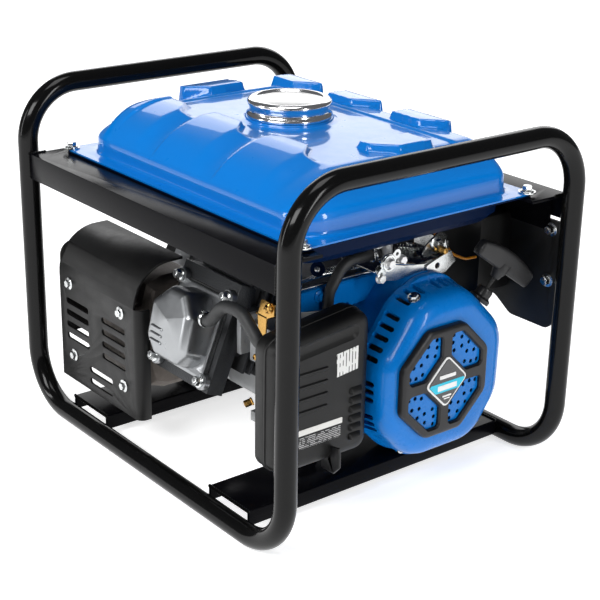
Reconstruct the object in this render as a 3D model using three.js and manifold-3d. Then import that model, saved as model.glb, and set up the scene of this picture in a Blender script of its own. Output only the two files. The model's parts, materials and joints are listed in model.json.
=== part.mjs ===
// Portable open-frame petrol generator, in millimetres, +Z up.
// +X points along the crankshaft to the recoil starter, -Y is the valve-cover side, +Y the control panel.
// The origin is on the floor, below the middle of the tube frame.
import * as THREE from 'three';
import { mergeVertices } from 'three/addons/utils/BufferGeometryUtils.js';
import Module from 'manifold-3d';

const wasm = await Module();
wasm.setup();

// ------------------------------------------------------------------ driving dimensions

const gap = 0.3; // clearance left between pieces that touch
const frame = { length: 464, width: 365, height: 360, tube: 22, bend: 60, spigot: 40, spigotDia: 14 };
const rail = { drop: 70, height: 28, flange: 52, wall: 3, outset: 5 };
const crossbar = { inset: 13, width: 30 };
const channel = { top: 25, height: 17, wall: 3 };
const tank = {
  endMargin: 24, sideMargin: 32.5, lip: 16, lipThick: 1.6, rise: 50, depth: 26, wall: 1.6,
  padRise: 6, ribRise: 4, neckX: -15, neckY: 10, neckDia: 80, neckBore: 62, neckRise: 9,
  boltInset: 5, boltDia: 6,
};
const cap = { dia: 90, height: 12, skirt: 8, wall: 2.5, gasket: 2 };
const crank = { y: 33, z: 130, dia: 24, throw: 19, pin: 20, web: 52 };
const bore = { x: 15, tilt: 22, dia: 60, wall: 9 };
const engine = { back: -46, front: 110, foot: 8, mountTop: 45, coverDrop: 33 };
const flywheel = { dia: 128, thick: 22, back: 124 };
const shroud = { back: 118, front: 162, wall: 2.5, corner: 34 };
const starter = { front: 212, wall: 2.5, grille: 8, reelRadius: 40, reelThick: 9 };
const alternator = { dia: 150, bell: 30, stator: 56, endBell: 30, cover: 24, rotorDia: 88, wall: 7 };
const filter = {
  spigot: 145, back: 159, split: 174, front: 194, left: -165, right: -49, low: 72, high: 222,
  slope: 14, wall: 2.5,
};
const shield = { y: -170, left: -198, right: -36, low: 44, high: 216, bend: 48, thick: 2.5 };
const muffler = { left: -188, right: -58, front: -146, back: -70, low: 62, high: 192 };
const panel = { thick: 3, height: 104, skirt: 16, skirtStart: 134, chamfer: 8, depth: 46 };
const rubberMount = { dia: 28, neck: 22 };

// ------------------------------------------------------------------ places worked out from them

const tubeR = frame.tube / 2;
const hoopX = frame.length / 2;
const sideY = frame.width / 2;
const topZ = tubeR + frame.height;
const railTop = topZ - rail.drop;
const railOuter = sideY + rail.outset;
const railInner = railOuter - rail.flange;
const lipX = hoopX - tank.endMargin;
const lipY = sideY - tank.sideMargin;
const lipTop = railTop + 2 * tank.lipThick + 2 * gap;
const neckTop = lipTop + tank.rise + tank.neckRise;
const boltX = lipX - tank.boltInset;
const boltY = lipY - tank.boltInset;
const tilt = THREE.MathUtils.degToRad(bore.tilt);

// ------------------------------------------------------------------ shape helpers

/** Merged triangles of a closed geometry as a solid that can be joined and cut. */
function solidOf(geometry) {
  const bare = geometry.clone();
  bare.deleteAttribute('normal');
  bare.deleteAttribute('uv');
  const merged = mergeVertices(bare, 1e-4);
  const triangles = [];
  for (let i = 0; i < merged.index.count; i += 3) {
    const [a, b, c] = [0, 1, 2].map((k) => merged.index.getX(i + k));
    if (a !== b && b !== c && c !== a) triangles.push(a, b, c);
  }
  const vertProperties = Float32Array.from(merged.attributes.position.array);
  const triVerts = Uint32Array.from(triangles);
  return new wasm.Manifold(new wasm.Mesh({ numProp: 3, vertProperties, triVerts }));
}

/** A solid's triangles as a geometry with flat-shaded normals. */
function geometryOf(solid) {
  const mesh = solid.getMesh();
  const indexed = new THREE.BufferGeometry();
  indexed.setAttribute('position', new THREE.BufferAttribute(Float32Array.from(mesh.vertProperties), 3));
  indexed.setIndex(Array.from(mesh.triVerts));
  const geometry = indexed.toNonIndexed();
  geometry.computeVertexNormals();
  return geometry;
}

const join = (...shapes) => geometryOf(shapes.map(solidOf).reduce((sum, next) => sum.add(next)));
const cut = (shape, ...tools) =>
  geometryOf(tools.map(solidOf).reduce((rest, tool) => rest.subtract(tool), solidOf(shape)));
const common = (...shapes) => geometryOf(shapes.map(solidOf).reduce((rest, next) => rest.intersect(next)));

/** A box between two values on each axis. */
function block([x0, x1], [y0, y1], [z0, z1]) {
  const box = new THREE.BoxGeometry(x1 - x0, y1 - y0, z1 - z0);
  return box.translate((x0 + x1) / 2, (y0 + y1) / 2, (z0 + z1) / 2);
}

const [alongX, alongY, alongZ] = [[1, 0, 0], [0, 1, 0], [0, 0, 1]].map((axis) => new THREE.Vector3(...axis));
const basisOf = {
  x: new THREE.Matrix4().makeBasis(alongY, alongZ, alongX),
  y: new THREE.Matrix4().makeBasis(alongZ, alongX, alongY),
  z: new THREE.Matrix4(),
};

/** A closed path of points, with each corner rounded to the radius (0 leaves it sharp). */
function outline(points, radius = 0) {
  const path = new THREE.Shape();
  const corner = (i) => new THREE.Vector2(...points[(i + points.length) % points.length]);
  points.forEach((_, i) => {
    const [before, here, after] = [corner(i - 1), corner(i), corner(i + 1)];
    const reach = (other) => Math.min(radius, here.distanceTo(other) * 0.45);
    const enter = here.clone().lerp(before, reach(before) / here.distanceTo(before));
    const leave = here.clone().lerp(after, reach(after) / here.distanceTo(after));
    if (i === 0) path.moveTo(enter.x, enter.y);
    else path.lineTo(enter.x, enter.y);
    if (radius > 0) path.quadraticCurveTo(here.x, here.y, leave.x, leave.y);
  });
  path.closePath();
  return path;
}

const rectangle = (a0, a1, b0, b1, radius = 0) => outline([[a0, b0], [a1, b0], [a1, b1], [a0, b1]], radius);

/** An outline pushed along an axis. The outline is (y, z) for x, (z, x) for y and (x, y) for z. */
function prism(axis, shape, from, to, { bevel = 0, curveSegments = 2 } = {}) {
  const options = { depth: to - from - 2 * bevel, curveSegments, bevelEnabled: bevel > 0, bevelSize: bevel };
  Object.assign(options, { bevelThickness: bevel, bevelOffset: -bevel, bevelSegments: 1 });
  return new THREE.ExtrudeGeometry(shape, options).translate(0, 0, from + bevel).applyMatrix4(basisOf[axis]);
}

/** A turned shape round an axis: profile points are [radius, place along the axis], from low to high. */
function turned(axis, profile, [a, b] = [0, 0], sides = 16) {
  const points = profile.map(([radius, along]) => new THREE.Vector2(radius, along));
  const lathe = new THREE.LatheGeometry(points, sides).rotateX(Math.PI / 2);
  return lathe.applyMatrix4(basisOf[axis]).translate(...{ x: [0, a, b], y: [b, 0, a], z: [a, b, 0] }[axis]);
}

const drum = (axis, radius, from, to, centre, sides) =>
  turned(axis, [[0, from], [radius, from], [radius, to], [0, to]], centre, sides);
const ring = (axis, inner, outer, from, to, centre, sides) =>
  turned(axis, [[inner, from], [outer, from], [outer, to], [inner, to], [inner, from]], centre, sides);

/** A route through corner points whose corners are arcs, stepped only where it bends. */
class BentRoute extends THREE.Curve {
  constructor(corners, bend, bendSteps) {
    super();
    const points = corners.map((p) => new THREE.Vector3(...p));
    const heading = (from, to) => to.clone().sub(from).normalize();
    this.stations = [{ point: points[0], tangent: heading(points[0], points[1]) }];
    for (let i = 1; i < points.length - 1; i += 1) {
      this.addBend(points[i - 1], points[i], points[i + 1], bend, bendSteps);
    }
    const [beforeLast, last] = points.slice(-2);
    this.stations.push({ point: last, tangent: heading(beforeLast, last) });
  }

  addBend(before, here, after, bend, bendSteps) {
    const into = here.clone().sub(before).normalize();
    const out = after.clone().sub(here).normalize();
    const turn = into.angleTo(out);
    const room = 0.48 * Math.min(here.distanceTo(before), here.distanceTo(after));
    const radius = Math.min(bend, room / Math.tan(turn / 2));
    const start = here.clone().addScaledVector(into, -radius * Math.tan(turn / 2));
    const inward = out.clone().addScaledVector(into, -out.dot(into)).normalize();
    for (let k = 0; k <= bendSteps; k += 1) {
      const angle = (turn * k) / bendSteps;
      const point = start.clone().addScaledVector(into, radius * Math.sin(angle));
      point.addScaledVector(inward, radius * (1 - Math.cos(angle)));
      const tangent = into.clone().multiplyScalar(Math.cos(angle)).addScaledVector(inward, Math.sin(angle));
      this.stations.push({ point, tangent });
    }
  }

  get steps() {
    return this.stations.length - 1;
  }

  getUtoTmapping(u) {
    return u;
  }

  getPoint(t) {
    const place = t * this.steps;
    const index = Math.min(Math.floor(place), this.steps - 1);
    return this.stations[index].point.clone().lerp(this.stations[index + 1].point, place - index);
  }

  getTangent(t) {
    return this.stations[Math.round(t * this.steps)].tangent.clone();
  }
}

/** A round bar or pipe of the given outer radius along bent corners; its sides are flats at that radius. */
function bentBar(corners, bend, radius, sides = 8, bendSteps = 4) {
  const route = new BentRoute(corners, bend, bendSteps);
  const corner = radius / Math.cos(Math.PI / sides);
  const points = Array.from({ length: sides }, (_, i) => {
    const angle = ((i + 0.5) * 2 * Math.PI) / sides;
    return new THREE.Vector2(corner * Math.cos(angle), corner * Math.sin(angle));
  });
  const options = { extrudePath: route, steps: route.steps, bevelEnabled: false };
  return new THREE.ExtrudeGeometry(new THREE.Shape(points), options);
}

/** Lays a shape that was drawn along +X, with up as +Z, on the cylinder's tilted axis from the crank. */
function alongBore(shape) {
  const out = new THREE.Vector3(0, -Math.cos(tilt), Math.sin(tilt));
  const up = new THREE.Vector3(0, Math.sin(tilt), Math.cos(tilt));
  const side = up.clone().cross(out);
  const place = new THREE.Matrix4().makeBasis(out, side, up).setPosition(bore.x, crank.y, crank.z);
  return shape.applyMatrix4(place);
}

// ------------------------------------------------------------------ finishes and the assembly

const finish = (color, roughness, metalness) => ({ color, roughness, metalness });
const blackGloss = finish(0x111113, 0.25, 0.2);
const tankBlue = finish(0x0668c8, 0.25, 0.1);
const castAluminium = finish(0xa9abad, 0.4, 0.9);
const darkCasting = finish(0x3a3c3f, 0.6, 0.6);
const steel = finish(0x9a9da0, 0.35, 0.95);
const zinc = finish(0xc3c6c4, 0.3, 0.9);
const chrome = finish(0xe2e4e6, 0.1, 1);
const satinBlack = finish(0x242526, 0.55, 0.3);
const blackPlastic = finish(0x1c1c1e, 0.5, 0);
const greyPlastic = finish(0x3b3d40, 0.5, 0);
const rubber = finish(0x161616, 0.85, 0);
const foam = finish(0x30322f, 0.95, 0);
const copper = finish(0xa4552a, 0.45, 0.8);
const redPlastic = finish(0xb3141a, 0.4, 0);

const generator = new THREE.Group();

function add(name, geometry, look) {
  const mesh = new THREE.Mesh(geometry, new THREE.MeshStandardMaterial(look));
  mesh.name = name;
  generator.add(mesh);
}

// ------------------------------------------------------------------ tube frame

const hoopBore = frame.spigotDia / 2 + gap;

function endHoop(sign) {
  const x = sign * hoopX;
  const joint = sign * (gap / 2);
  return bentBar([
    [joint, -sideY, tubeR], [x, -sideY, tubeR], [x, -sideY, topZ],
    [x, sideY, topZ], [x, sideY, tubeR], [joint, sideY, tubeR],
  ], frame.bend, tubeR, 12, 5);
}

const spigots = [-1, 1].map((side) =>
  drum('x', frame.spigotDia / 2, -gap, frame.spigot - gap, [side * sideY, tubeR], 12));
const sockets = [-1, 1].map((side) => drum('x', hoopBore, -gap, frame.spigot, [side * sideY, tubeR], 12));
add('starter_end_hoop', cut(endHoop(1), ...sockets), blackGloss);
add('alternator_end_hoop', join(endHoop(-1), ...spigots), blackGloss);

const railEnd = hoopX - tubeR - gap;
const boltHole = (x, y, low, high) => drum('z', tank.boltDia / 2 + gap, low, high, [x, y], 10);

function tankRail(side) {
  const web = block([-railEnd, railEnd], [railOuter - rail.wall, railOuter], [railTop - rail.height, railTop]);
  const flange = block([-railEnd, railEnd], [railInner, railOuter], [railTop - rail.wall, railTop]);
  const holes = [-boltX, boltX].map((x) => boltHole(x, boltY, railTop - 2 * rail.wall, railTop + 1));
  const shape = cut(join(web, flange), ...holes);
  return side > 0 ? shape : shape.applyMatrix4(new THREE.Matrix4().makeRotationZ(Math.PI));
}

add('valve_side_rail', tankRail(-1), blackGloss);
add('panel_side_rail', tankRail(1), blackGloss);

const crossbarX = -hoopX + crossbar.inset;
const crossbarY = railInner - gap;
add('rear_tank_crossbar', join(
  block([crossbarX, crossbarX + crossbar.width], [-crossbarY, crossbarY], [railTop - rail.wall, railTop]),
  block([crossbarX, crossbarX + rail.wall], [-crossbarY, crossbarY], [railTop - rail.height, railTop]),
), blackGloss);

const channelEnd = sideY - tubeR - gap;

function crossChannel(from, to) {
  const { top, height, wall } = channel;
  const section = outline([
    [from, top - height], [from + wall, top - height], [from + wall, top - wall], [to - wall, top - wall],
    [to - wall, top - height], [to, top - height], [to, top], [from, top],
  ].map(([x, z]) => [z, x]).reverse());
  return prism('y', section, -channelEnd, channelEnd);
}

const mountSpots = {
  starter: { x: 104, channel: [92, 160], y: [-58, 90] },
  alternator: { x: -160, channel: [-174, -104], y: [crank.y - 53, crank.y + 53] },
};
for (const [end, spot] of Object.entries(mountSpots)) {
  add(`${end}_cross_channel`, crossChannel(...spot.channel), blackGloss);
  spot.y.forEach((y, i) => {
    const [low, high] = [channel.top + gap, engine.mountTop - gap];
    const [wide, thin] = [rubberMount.dia / 2, rubberMount.neck / 2];
    const middle = (low + high) / 2;
    const plateThick = 3;
    add(`${end}_rubber_mount_${i + 1}`, turned('z', [
      [0, low], [wide, low], [wide, low + plateThick], [thin, middle],
      [wide, high - plateThick], [wide, high], [0, high],
    ], [spot.x, y], 14), rubber);
  });
}

// ------------------------------------------------------------------ fuel tank and cap

const bodyX = lipX - tank.lip;
const bodyY = lipY - tank.lip;
const ellipseSteps = 4;
const shoulder = { south: 72, north: 14, west: 48, east: 44 };

/** Arch over a span: straight foot, then quarter-ellipse shoulders of their own width at each end. */
function arch(low, high, foot, top, shoulderLow, shoulderHigh) {
  const spring = foot + 4;
  const path = new THREE.Shape();
  path.moveTo(low, foot - 2);
  path.lineTo(high, foot - 2);
  path.lineTo(high, spring);
  path.absellipse(high - shoulderHigh, spring, shoulderHigh, top - spring, 0, Math.PI / 2, false);
  path.lineTo(low + shoulderLow, top);
  path.absellipse(low + shoulderLow, spring, shoulderLow, top - spring, Math.PI / 2, Math.PI, false);
  path.closePath();
  return path;
}

/** Domed body of the upper tank half, shrunk on all sides by the inset. */
function tankDome(inset) {
  const foot = lipTop - tank.lipThick;
  const top = lipTop + tank.rise - inset;
  const [x, y] = [bodyX - inset, bodyY - inset];
  const steps = { curveSegments: ellipseSteps };
  const acrossSection = arch(-y, y, foot, top, shoulder.south, shoulder.north);
  const along = arch(-x, x, foot, top, shoulder.west, shoulder.east).getPoints(ellipseSteps);
  const alongSection = new THREE.Shape(along.map((p) => new THREE.Vector2(p.y, p.x)).reverse());
  return common(
    prism('x', acrossSection, -x, x, steps),
    prism('y', alongSection, -y, y, steps),
    prism('z', rectangle(-x, x, -y, y, 34), foot - 2, top, steps),
  );
}

/** Raised pads pressed into the tank's top, kept on the dome. */
function tankPads() {
  const top = lipTop + tank.rise + tank.padRise;
  const low = top - 24;
  const padPlaces = [
    [-180, -152, -16, 50], [114, 150, -4, 58], [-157, -99, 98, 130], [-57, 3, 98, 130], [48, 111, 98, 130],
  ];
  return padPlaces.map(([x0, x1, y0, y1]) => {
    const side = [Math.max(x0, 12 - bodyX), Math.min(x1, bodyX - 12), y0, Math.min(y1, bodyY - 4)];
    return prism('z', rectangle(...side, 12), low, top, { bevel: 5 });
  });
}

/** Pressed ribs that run down the tank's long near shoulder. */
function tankRibs() {
  const spans = [[-161, -101], [-61, 1], [44, 109]];
  return spans.map((span) => common(
    tankDome(-tank.ribRise), block(span, [-2 * bodyY, -50], [lipTop + 8, lipTop + 2 * tank.rise])));
}

const lipPlate = (from, to) => prism('z', rectangle(-lipX, lipX, -lipY, lipY, 8), from, to);
const cornerHoles = [[-1, -1], [1, -1], [1, 1], [-1, 1]].map(([sx, sy]) =>
  boltHole(sx * boltX, sy * boltY, railTop - 2, lipTop + 2));
const neckCentre = [tank.neckX, tank.neckY];
const neckR = tank.neckDia / 2;
const domeTop = lipTop + tank.rise;
const neckSteps = [
  [0, domeTop - 6], [neckR + 6, domeTop - 6], [neckR + 6, domeTop], [neckR + 1, domeTop + 3],
  [neckR + 1, domeTop + 6], [neckR - 4, neckTop - 1], [neckR - 4, neckTop], [0, neckTop],
];
add('tank_upper_shell', cut(
  join(
    lipPlate(lipTop - tank.lipThick, lipTop), tankDome(0), ...tankPads(), ...tankRibs(),
    turned('z', neckSteps, neckCentre, 24),
  ),
  tankDome(tank.wall),
  block([-lipX, lipX], [-lipY, lipY], [railTop - 10, lipTop - tank.lipThick]),
  drum('z', tank.neckBore / 2, lipTop, neckTop + 1, neckCentre, 24),
  ...cornerHoles,
), tankBlue);

const lowerLipTop = railTop + gap + tank.lipThick;
const lowerFloor = railTop - tank.depth;
const tap = { x: 140, y: 12, bodyLow: lowerFloor - 34, dia: 16, stem: 9 };
const lowerX = Math.min(bodyX - 2, hoopX - crossbar.inset - crossbar.width - 1);
const lowerY = Math.min(bodyY - 2, railInner - 2);
add('tank_lower_shell', cut(
  join(
    lipPlate(railTop + gap, lowerLipTop),
    prism('z', rectangle(-lowerX, lowerX, -lowerY, lowerY, 30), lowerFloor, lowerLipTop + 12, { bevel: 8 }),
  ),
  prism('z', rectangle(tank.wall - lowerX, lowerX - tank.wall, tank.wall - lowerY, lowerY - tank.wall, 30),
    lowerFloor + tank.wall, lowerLipTop + 20, { bevel: 8 }),
  drum('z', tap.stem / 2 + gap, lowerFloor - 1, lowerFloor + 6, [tap.x, tap.y], 12),
  block([-lipX - 1, lipX + 1], [-lipY - 1, lipY + 1], [lowerLipTop, lowerLipTop + 30]),
  ...cornerHoles,
), finish(0x0a3f86, 0.3, 0.1));

const strainer = {
  top: neckTop - 4, low: neckTop - 49, flange: tank.neckBore / 2 - gap, outer: 22, inner: 20.5,
};
add('fuel_strainer', turned('z', [
  [0, strainer.low], [strainer.outer, strainer.low], [strainer.outer, strainer.top - 2],
  [strainer.flange, strainer.top - 2], [strainer.flange, strainer.top], [strainer.inner, strainer.top],
  [strainer.inner, strainer.low + 1.5], [0, strainer.low + 1.5],
], neckCentre, 16), finish(0xd8d8d0, 0.6, 0));

const gasketLow = neckTop + gap;
const gasketTop = gasketLow + cap.gasket;
add('cap_gasket', ring('z', tank.neckBore / 2, neckR - 4, gasketLow, gasketTop, neckCentre, 20), rubber);
const capLow = gasketTop + gap;
const capR = cap.dia / 2;
add('fuel_cap', turned('z', [
  [0, capLow], [capR - cap.wall, capLow], [capR - cap.wall, capLow - cap.skirt], [capR, capLow - cap.skirt],
  [capR, capLow + cap.height - 2], [capR - 3, capLow + cap.height],
  [capR - 10, capLow + cap.height], [capR - 13, capLow + cap.height - 1.5],
  [0, capLow + cap.height - 1],
], neckCentre, 24), chrome);

// ------------------------------------------------------------------ fuel tap and hoses

const tapCentre = [tap.x, tap.y];
const tapBarrel = [tap.bodyLow, tap.bodyLow + 20];
const tapMiddle = (tapBarrel[0] + tapBarrel[1]) / 2;
const hoseR = 5.8;
const spout = { radius: 3.4, length: 16 };
add('fuel_tap', join(
  drum('z', tap.dia / 2, ...tapBarrel, tapCentre, 14),
  drum('z', tap.stem / 2, tapBarrel[1] - 1, lowerFloor + tank.wall + 8, tapCentre, 12),
  drum('z', 8, lowerFloor - 8, lowerFloor - gap, tapCentre, 6),
  drum('y', spout.radius, tap.y - tap.dia / 2 - spout.length, tap.y, [tapMiddle, tap.x], 10),
), zinc);
const leverLow = tap.y + tap.dia / 2 + gap;
add('fuel_tap_lever', join(
  drum('y', 6, leverLow, leverLow + 6, [tapMiddle, tap.x], 12),
  block([tap.x - 3.5, tap.x + 3.5], [leverLow + 2, leverLow + 6], [tapMiddle - 16, tapMiddle]),
), redPlastic);

// ------------------------------------------------------------------ engine: crankcase, cylinder and head

const crankAxis = [crank.y, crank.z];
const caseWall = 6;
const caseBack = engine.back;
const caseFront = engine.front;
const caseOutline = [[-48, 53], [98, 53], [104, 90], [92, 192], [40, 204], [-30, 204], [-48, 170]];
const caseCentre = [30, 128];
const caseInside = caseOutline.map(([y, z]) =>
  [y + caseWall * Math.sign(caseCentre[0] - y), z + caseWall * Math.sign(caseCentre[1] - z)]);
const barrel = { from: 40, to: 104, radius: bore.dia / 2 + bore.wall, fin: 96, finThick: 2.6, finPitch: 11 };
const fins = Array.from({ length: 3 }, (_, i) => {
  const along = barrel.to - 5 - i * barrel.finPitch;
  const square = [-barrel.fin / 2, barrel.fin / 2];
  return alongBore(block([along - barrel.finThick, along], square, square));
});
const shaftR = crank.dia / 2;
const dipstick = { x: 72, y: 99, z: 74, reach: 22, knob: 11 };
add('crankcase', cut(
  join(
    prism('x', outline(caseOutline, 14), caseBack, caseFront),
    block([30, 116], [-72, 104], [engine.mountTop, engine.mountTop + engine.foot + 3]),
    alongBore(drum('x', barrel.radius, barrel.from, barrel.to, [0, 0], 20)),
    ...fins,
    drum('y', 14, 90, dipstick.y + 8, [dipstick.z, dipstick.x], 12),
  ),
  prism('x', outline(caseInside, 10), caseBack - 1, caseFront - caseWall),
  drum('x', shaftR + gap, caseFront - 20, caseFront + 1, crankAxis, 20),
  alongBore(drum('x', bore.dia / 2, 20, barrel.to + 1, [0, 0], 20)),
  drum('y', 8.5, 80, dipstick.y + 9, [dipstick.z, dipstick.x], 12),
), castAluminium);

const coverBack = caseBack - gap;
const coverThick = 12;
add('crankcase_cover', cut(
  prism('x', outline(caseOutline, 14), coverBack - coverThick, coverBack),
  drum('x', shaftR + gap, coverBack - 30, coverBack + 1, crankAxis, 20),
), castAluminium);

const head = { from: barrel.to + gap, to: 165, side: 55, high: 46, low: 88 };
const port = { along: 136, drop: -10, radius: 12 };
const portY = crank.y - port.along * Math.cos(tilt) + port.drop * Math.sin(tilt);
const portZ = crank.z + port.along * Math.sin(tilt) + port.drop * Math.cos(tilt);
const headFins = [0, 1, 2].map((i) => alongBore(block(
  [head.from + 9 + i * 9, head.from + 12 + i * 9], [-head.side, head.side], [-head.high - 14, head.high])));
const headSideLow = bore.x - head.side;
const headSideHigh = bore.x + head.side;
add('cylinder_head', cut(
  join(
    alongBore(block([head.from, head.to - 18], [-head.side + 12, head.side - 12], [-head.high, head.high - 8])),
    alongBore(block([head.to - 20, head.to], [-head.side + 6, head.side - 6], [-head.low, 28])),
    ...headFins,
    drum('x', 20, headSideLow - 4, headSideHigh + 4, [portY, portZ], 14),
  ),
  alongBore(drum('x', bore.dia / 2, head.from - 1, head.from + 8, [0, 0], 20)),
  drum('x', port.radius, headSideLow - 6, bore.x - 12, [portY, portZ], 12),
  drum('x', port.radius, bore.x + 12, headSideHigh + 6, [portY, portZ], 12),
  alongBore(drum('z', 6, head.high - 22, head.high + 1, [head.from + 24, 0], 10)),
), darkCasting);

const valveCover = { boltX: 41, boltUp: 45, ear: 8, depth: 40, flange: 5, wall: 3 };
const coverFace = head.to + gap;

/** The valve cover's outline as (side, up) from its own centre: a bevelled body with an ear at each bolt. */
function valveCoverShape() {
  const { boltX: bx, boltUp: bu, ear, depth, flange, wall } = valveCover;
  const [low, high] = [-engine.coverDrop - bu, -engine.coverDrop + bu];
  const body = prism('x', rectangle(-bx, bx, low, high, 22), coverFace - 8, coverFace + depth, { bevel: 7 });
  const plate = prism('x', rectangle(-bx, bx, low, high, 8), coverFace, coverFace + flange);
  const corners = [[-bx, low], [bx, low], [bx, high], [-bx, high]];
  const ears = corners.map((corner) => drum('x', ear, coverFace, coverFace + flange + 1, corner, 14));
  const bolts = corners.map((corner) => drum('x', 3.2, coverFace - 1, coverFace + flange + 2, corner, 10));
  const margin = wall + 4;
  const inside = prism('x', rectangle(margin - bx, bx - margin, low + margin, high - margin, 20),
    coverFace - 10, coverFace + depth - wall, { bevel: 6 });
  const behind = block([coverFace - 20, coverFace], [-99, 99], [-199, 99]);
  return alongBore(cut(join(plate, ...ears, body), inside, behind, ...bolts));
}
add('valve_cover', valveCoverShape(), finish(0xb9bbbd, 0.28, 0.95));

const plugBase = head.high - 22;
add('spark_plug', alongBore(turned('z', [
  [0, plugBase + 4], [5.5, plugBase + 4], [5.5, head.high + gap], [9, head.high + gap], [9, head.high + 7],
  [5, head.high + 9], [5, head.high + 26], [0, head.high + 26],
], [head.from + 24, 0], 12)), finish(0xe6e2d8, 0.35, 0.1));
add('plug_cap', alongBore(turned('z', [
  [5.4, head.high + 12], [8.5, head.high + 12], [8.5, head.high + 34], [5, head.high + 38], [0, head.high + 38],
  [0, head.high + 27], [5.4, head.high + 27], [5.4, head.high + 12],
], [head.from + 24, 0], 12)), rubber);

// ------------------------------------------------------------------ rotating line: crankshaft, flywheel, rotor

const bellEnd = coverBack - coverThick - gap;
const statorFront = bellEnd - alternator.bell - gap;
const endBellFront = statorFront - alternator.stator - gap;
const endCoverFront = endBellFront - alternator.endBell - gap;
const shaftBack = endBellFront - alternator.endBell + 8;
const webs = [[bore.x - 24, bore.x - 11], [bore.x + 11, bore.x + 24]];
const pinCentre = [crank.y, crank.z + crank.throw];
add('crankshaft', join(
  drum('x', shaftR, shaftBack, webs[0][0] + 1, crankAxis, 16),
  drum('x', shaftR, webs[1][1] - 1, flywheel.back + flywheel.thick + 12, crankAxis, 16),
  ...webs.map(([from, to]) => drum('x', crank.web / 2, from, to, [crank.y, crank.z - 4], 20)),
  drum('x', crank.pin / 2, webs[0][1] - 1, webs[1][0] + 1, pinCentre, 14),
), steel);
const bladeCount = 10;
const blades = Array.from({ length: bladeCount }, (_, i) => {
  const rim = flywheel.back + flywheel.thick;
  const blade = block([rim - 8, rim + 8], [-1.5, 1.5], [34, flywheel.dia / 2 - 2]);
  return blade.rotateX((i * 2 * Math.PI) / bladeCount).translate(0, crank.y, crank.z);
});
add('flywheel', join(
  ring('x', shaftR + gap, flywheel.dia / 2, flywheel.back, flywheel.back + flywheel.thick - 8, crankAxis, 20),
  ...blades.map((blade) => common(blade, drum('x', flywheel.dia / 2 - 1, 0, 300, crankAxis, 20))),
), castAluminium);
const rotorR = alternator.rotorDia / 2;
const rotorSpan = [endBellFront + 4, statorFront + 4];
add('alternator_rotor', ring('x', shaftR + gap, rotorR, ...rotorSpan, crankAxis, 20), copper);

// ------------------------------------------------------------------ alternator housings

const altR = alternator.dia / 2;
add('alternator_front_bell', turned('x', [
  [shaftR + 3, bellEnd - 6], [shaftR + 3, bellEnd], [altR - 12, bellEnd], [altR, bellEnd - 10],
  [altR, bellEnd - alternator.bell], [altR - alternator.wall, bellEnd - alternator.bell],
  [altR - alternator.wall, bellEnd - 10], [altR - 16, bellEnd - 6], [shaftR + 3, bellEnd - 6],
].reverse(), crankAxis, 20), castAluminium);
const statorBack = statorFront - alternator.stator;
add('alternator_stator', ring('x', rotorR + 3, altR - 3, statorBack, statorFront, crankAxis, 20), steel);
const endBellBack = endBellFront - alternator.endBell;
const foot = { x: mountSpots.alternator.x, low: engine.mountTop, thick: 9, webTop: engine.mountTop + 40 };
const footPad = (y) => block([foot.x - 11, foot.x + 11], [y - 16, y + 16], [foot.low, foot.low + foot.thick]);
const footWeb = (y, lean) => prism('x', outline([
  [y - 10, foot.low + 5], [y + 10, foot.low + 5], [y + lean + 8, foot.webTop], [y + lean - 8, foot.webTop],
]), foot.x - 5, foot.x + 5);
add('alternator_end_bell', cut(
  join(
    drum('x', altR, endBellBack, endBellFront, crankAxis, 20),
    ...mountSpots.alternator.y.map(footPad),
    footWeb(mountSpots.alternator.y[0], 12), footWeb(mountSpots.alternator.y[1], -12),
  ),
  drum('x', altR - alternator.wall, endBellBack + 8, endBellFront + 1, crankAxis, 20),
  drum('x', shaftR + 3, endBellBack - 1, endBellBack + 9, crankAxis, 16),
), castAluminium);
const endCoverBack = endCoverFront - alternator.cover;
const ventCount = 8;
const vents = Array.from({ length: ventCount }, (_, i) => {
  const slot = block([endCoverBack - 1, endCoverBack + 6], [-4, 4], [26, altR - 14]);
  return slot.rotateX((i * 2 * Math.PI) / ventCount).translate(0, crank.y, crank.z);
});
add('alternator_end_cover', cut(
  drum('x', altR - 4, endCoverBack, endCoverFront, crankAxis, 20),
  drum('x', altR - 7, endCoverBack + 3, endCoverFront + 1, crankAxis, 20),
  ...vents,
), satinBlack);

// ------------------------------------------------------------------ fan shroud and recoil starter

const duct = { front: 131, points: [[-40, 196], [-58, 200], [-96, 206], [-88, 224], [10, 226], [30, 200]] };
const rimPoints = [[-45, 84], [-45, 150], [20, 228], [66, 228], [150, 151], [150, 80], [95, 28], [27, 28]];
const starterPoints = [[-43, 88], [-43, 156], [4, 219], [70, 220], [122, 164], [122, 92], [88, 46], [0, 46]];

/** Moves every point of an outline towards a centre by a wall thickness. */
const inward = (points, wall) => points.map(([y, z]) => {
  const away = new THREE.Vector2(y - crank.y, z - crank.z);
  away.setLength(away.length() - wall * 1.15);
  return [crank.y + away.x, crank.z + away.y];
});

add('fan_shroud', cut(
  join(
    prism('x', outline(rimPoints, shroud.corner), shroud.back, shroud.front, { bevel: 3 }),
    prism('x', outline(duct.points, 8), shroud.back, duct.front),
  ),
  prism('x', outline(inward(rimPoints, shroud.wall + 2), shroud.corner), shroud.back + shroud.wall,
    shroud.front + 20),
  drum('x', 40, shroud.back - 1, shroud.back + 5, crankAxis, 20),
), tankBlue);

const coverStart = shroud.front + gap;
const slot = { height: 5, depth: 17 };

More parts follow.
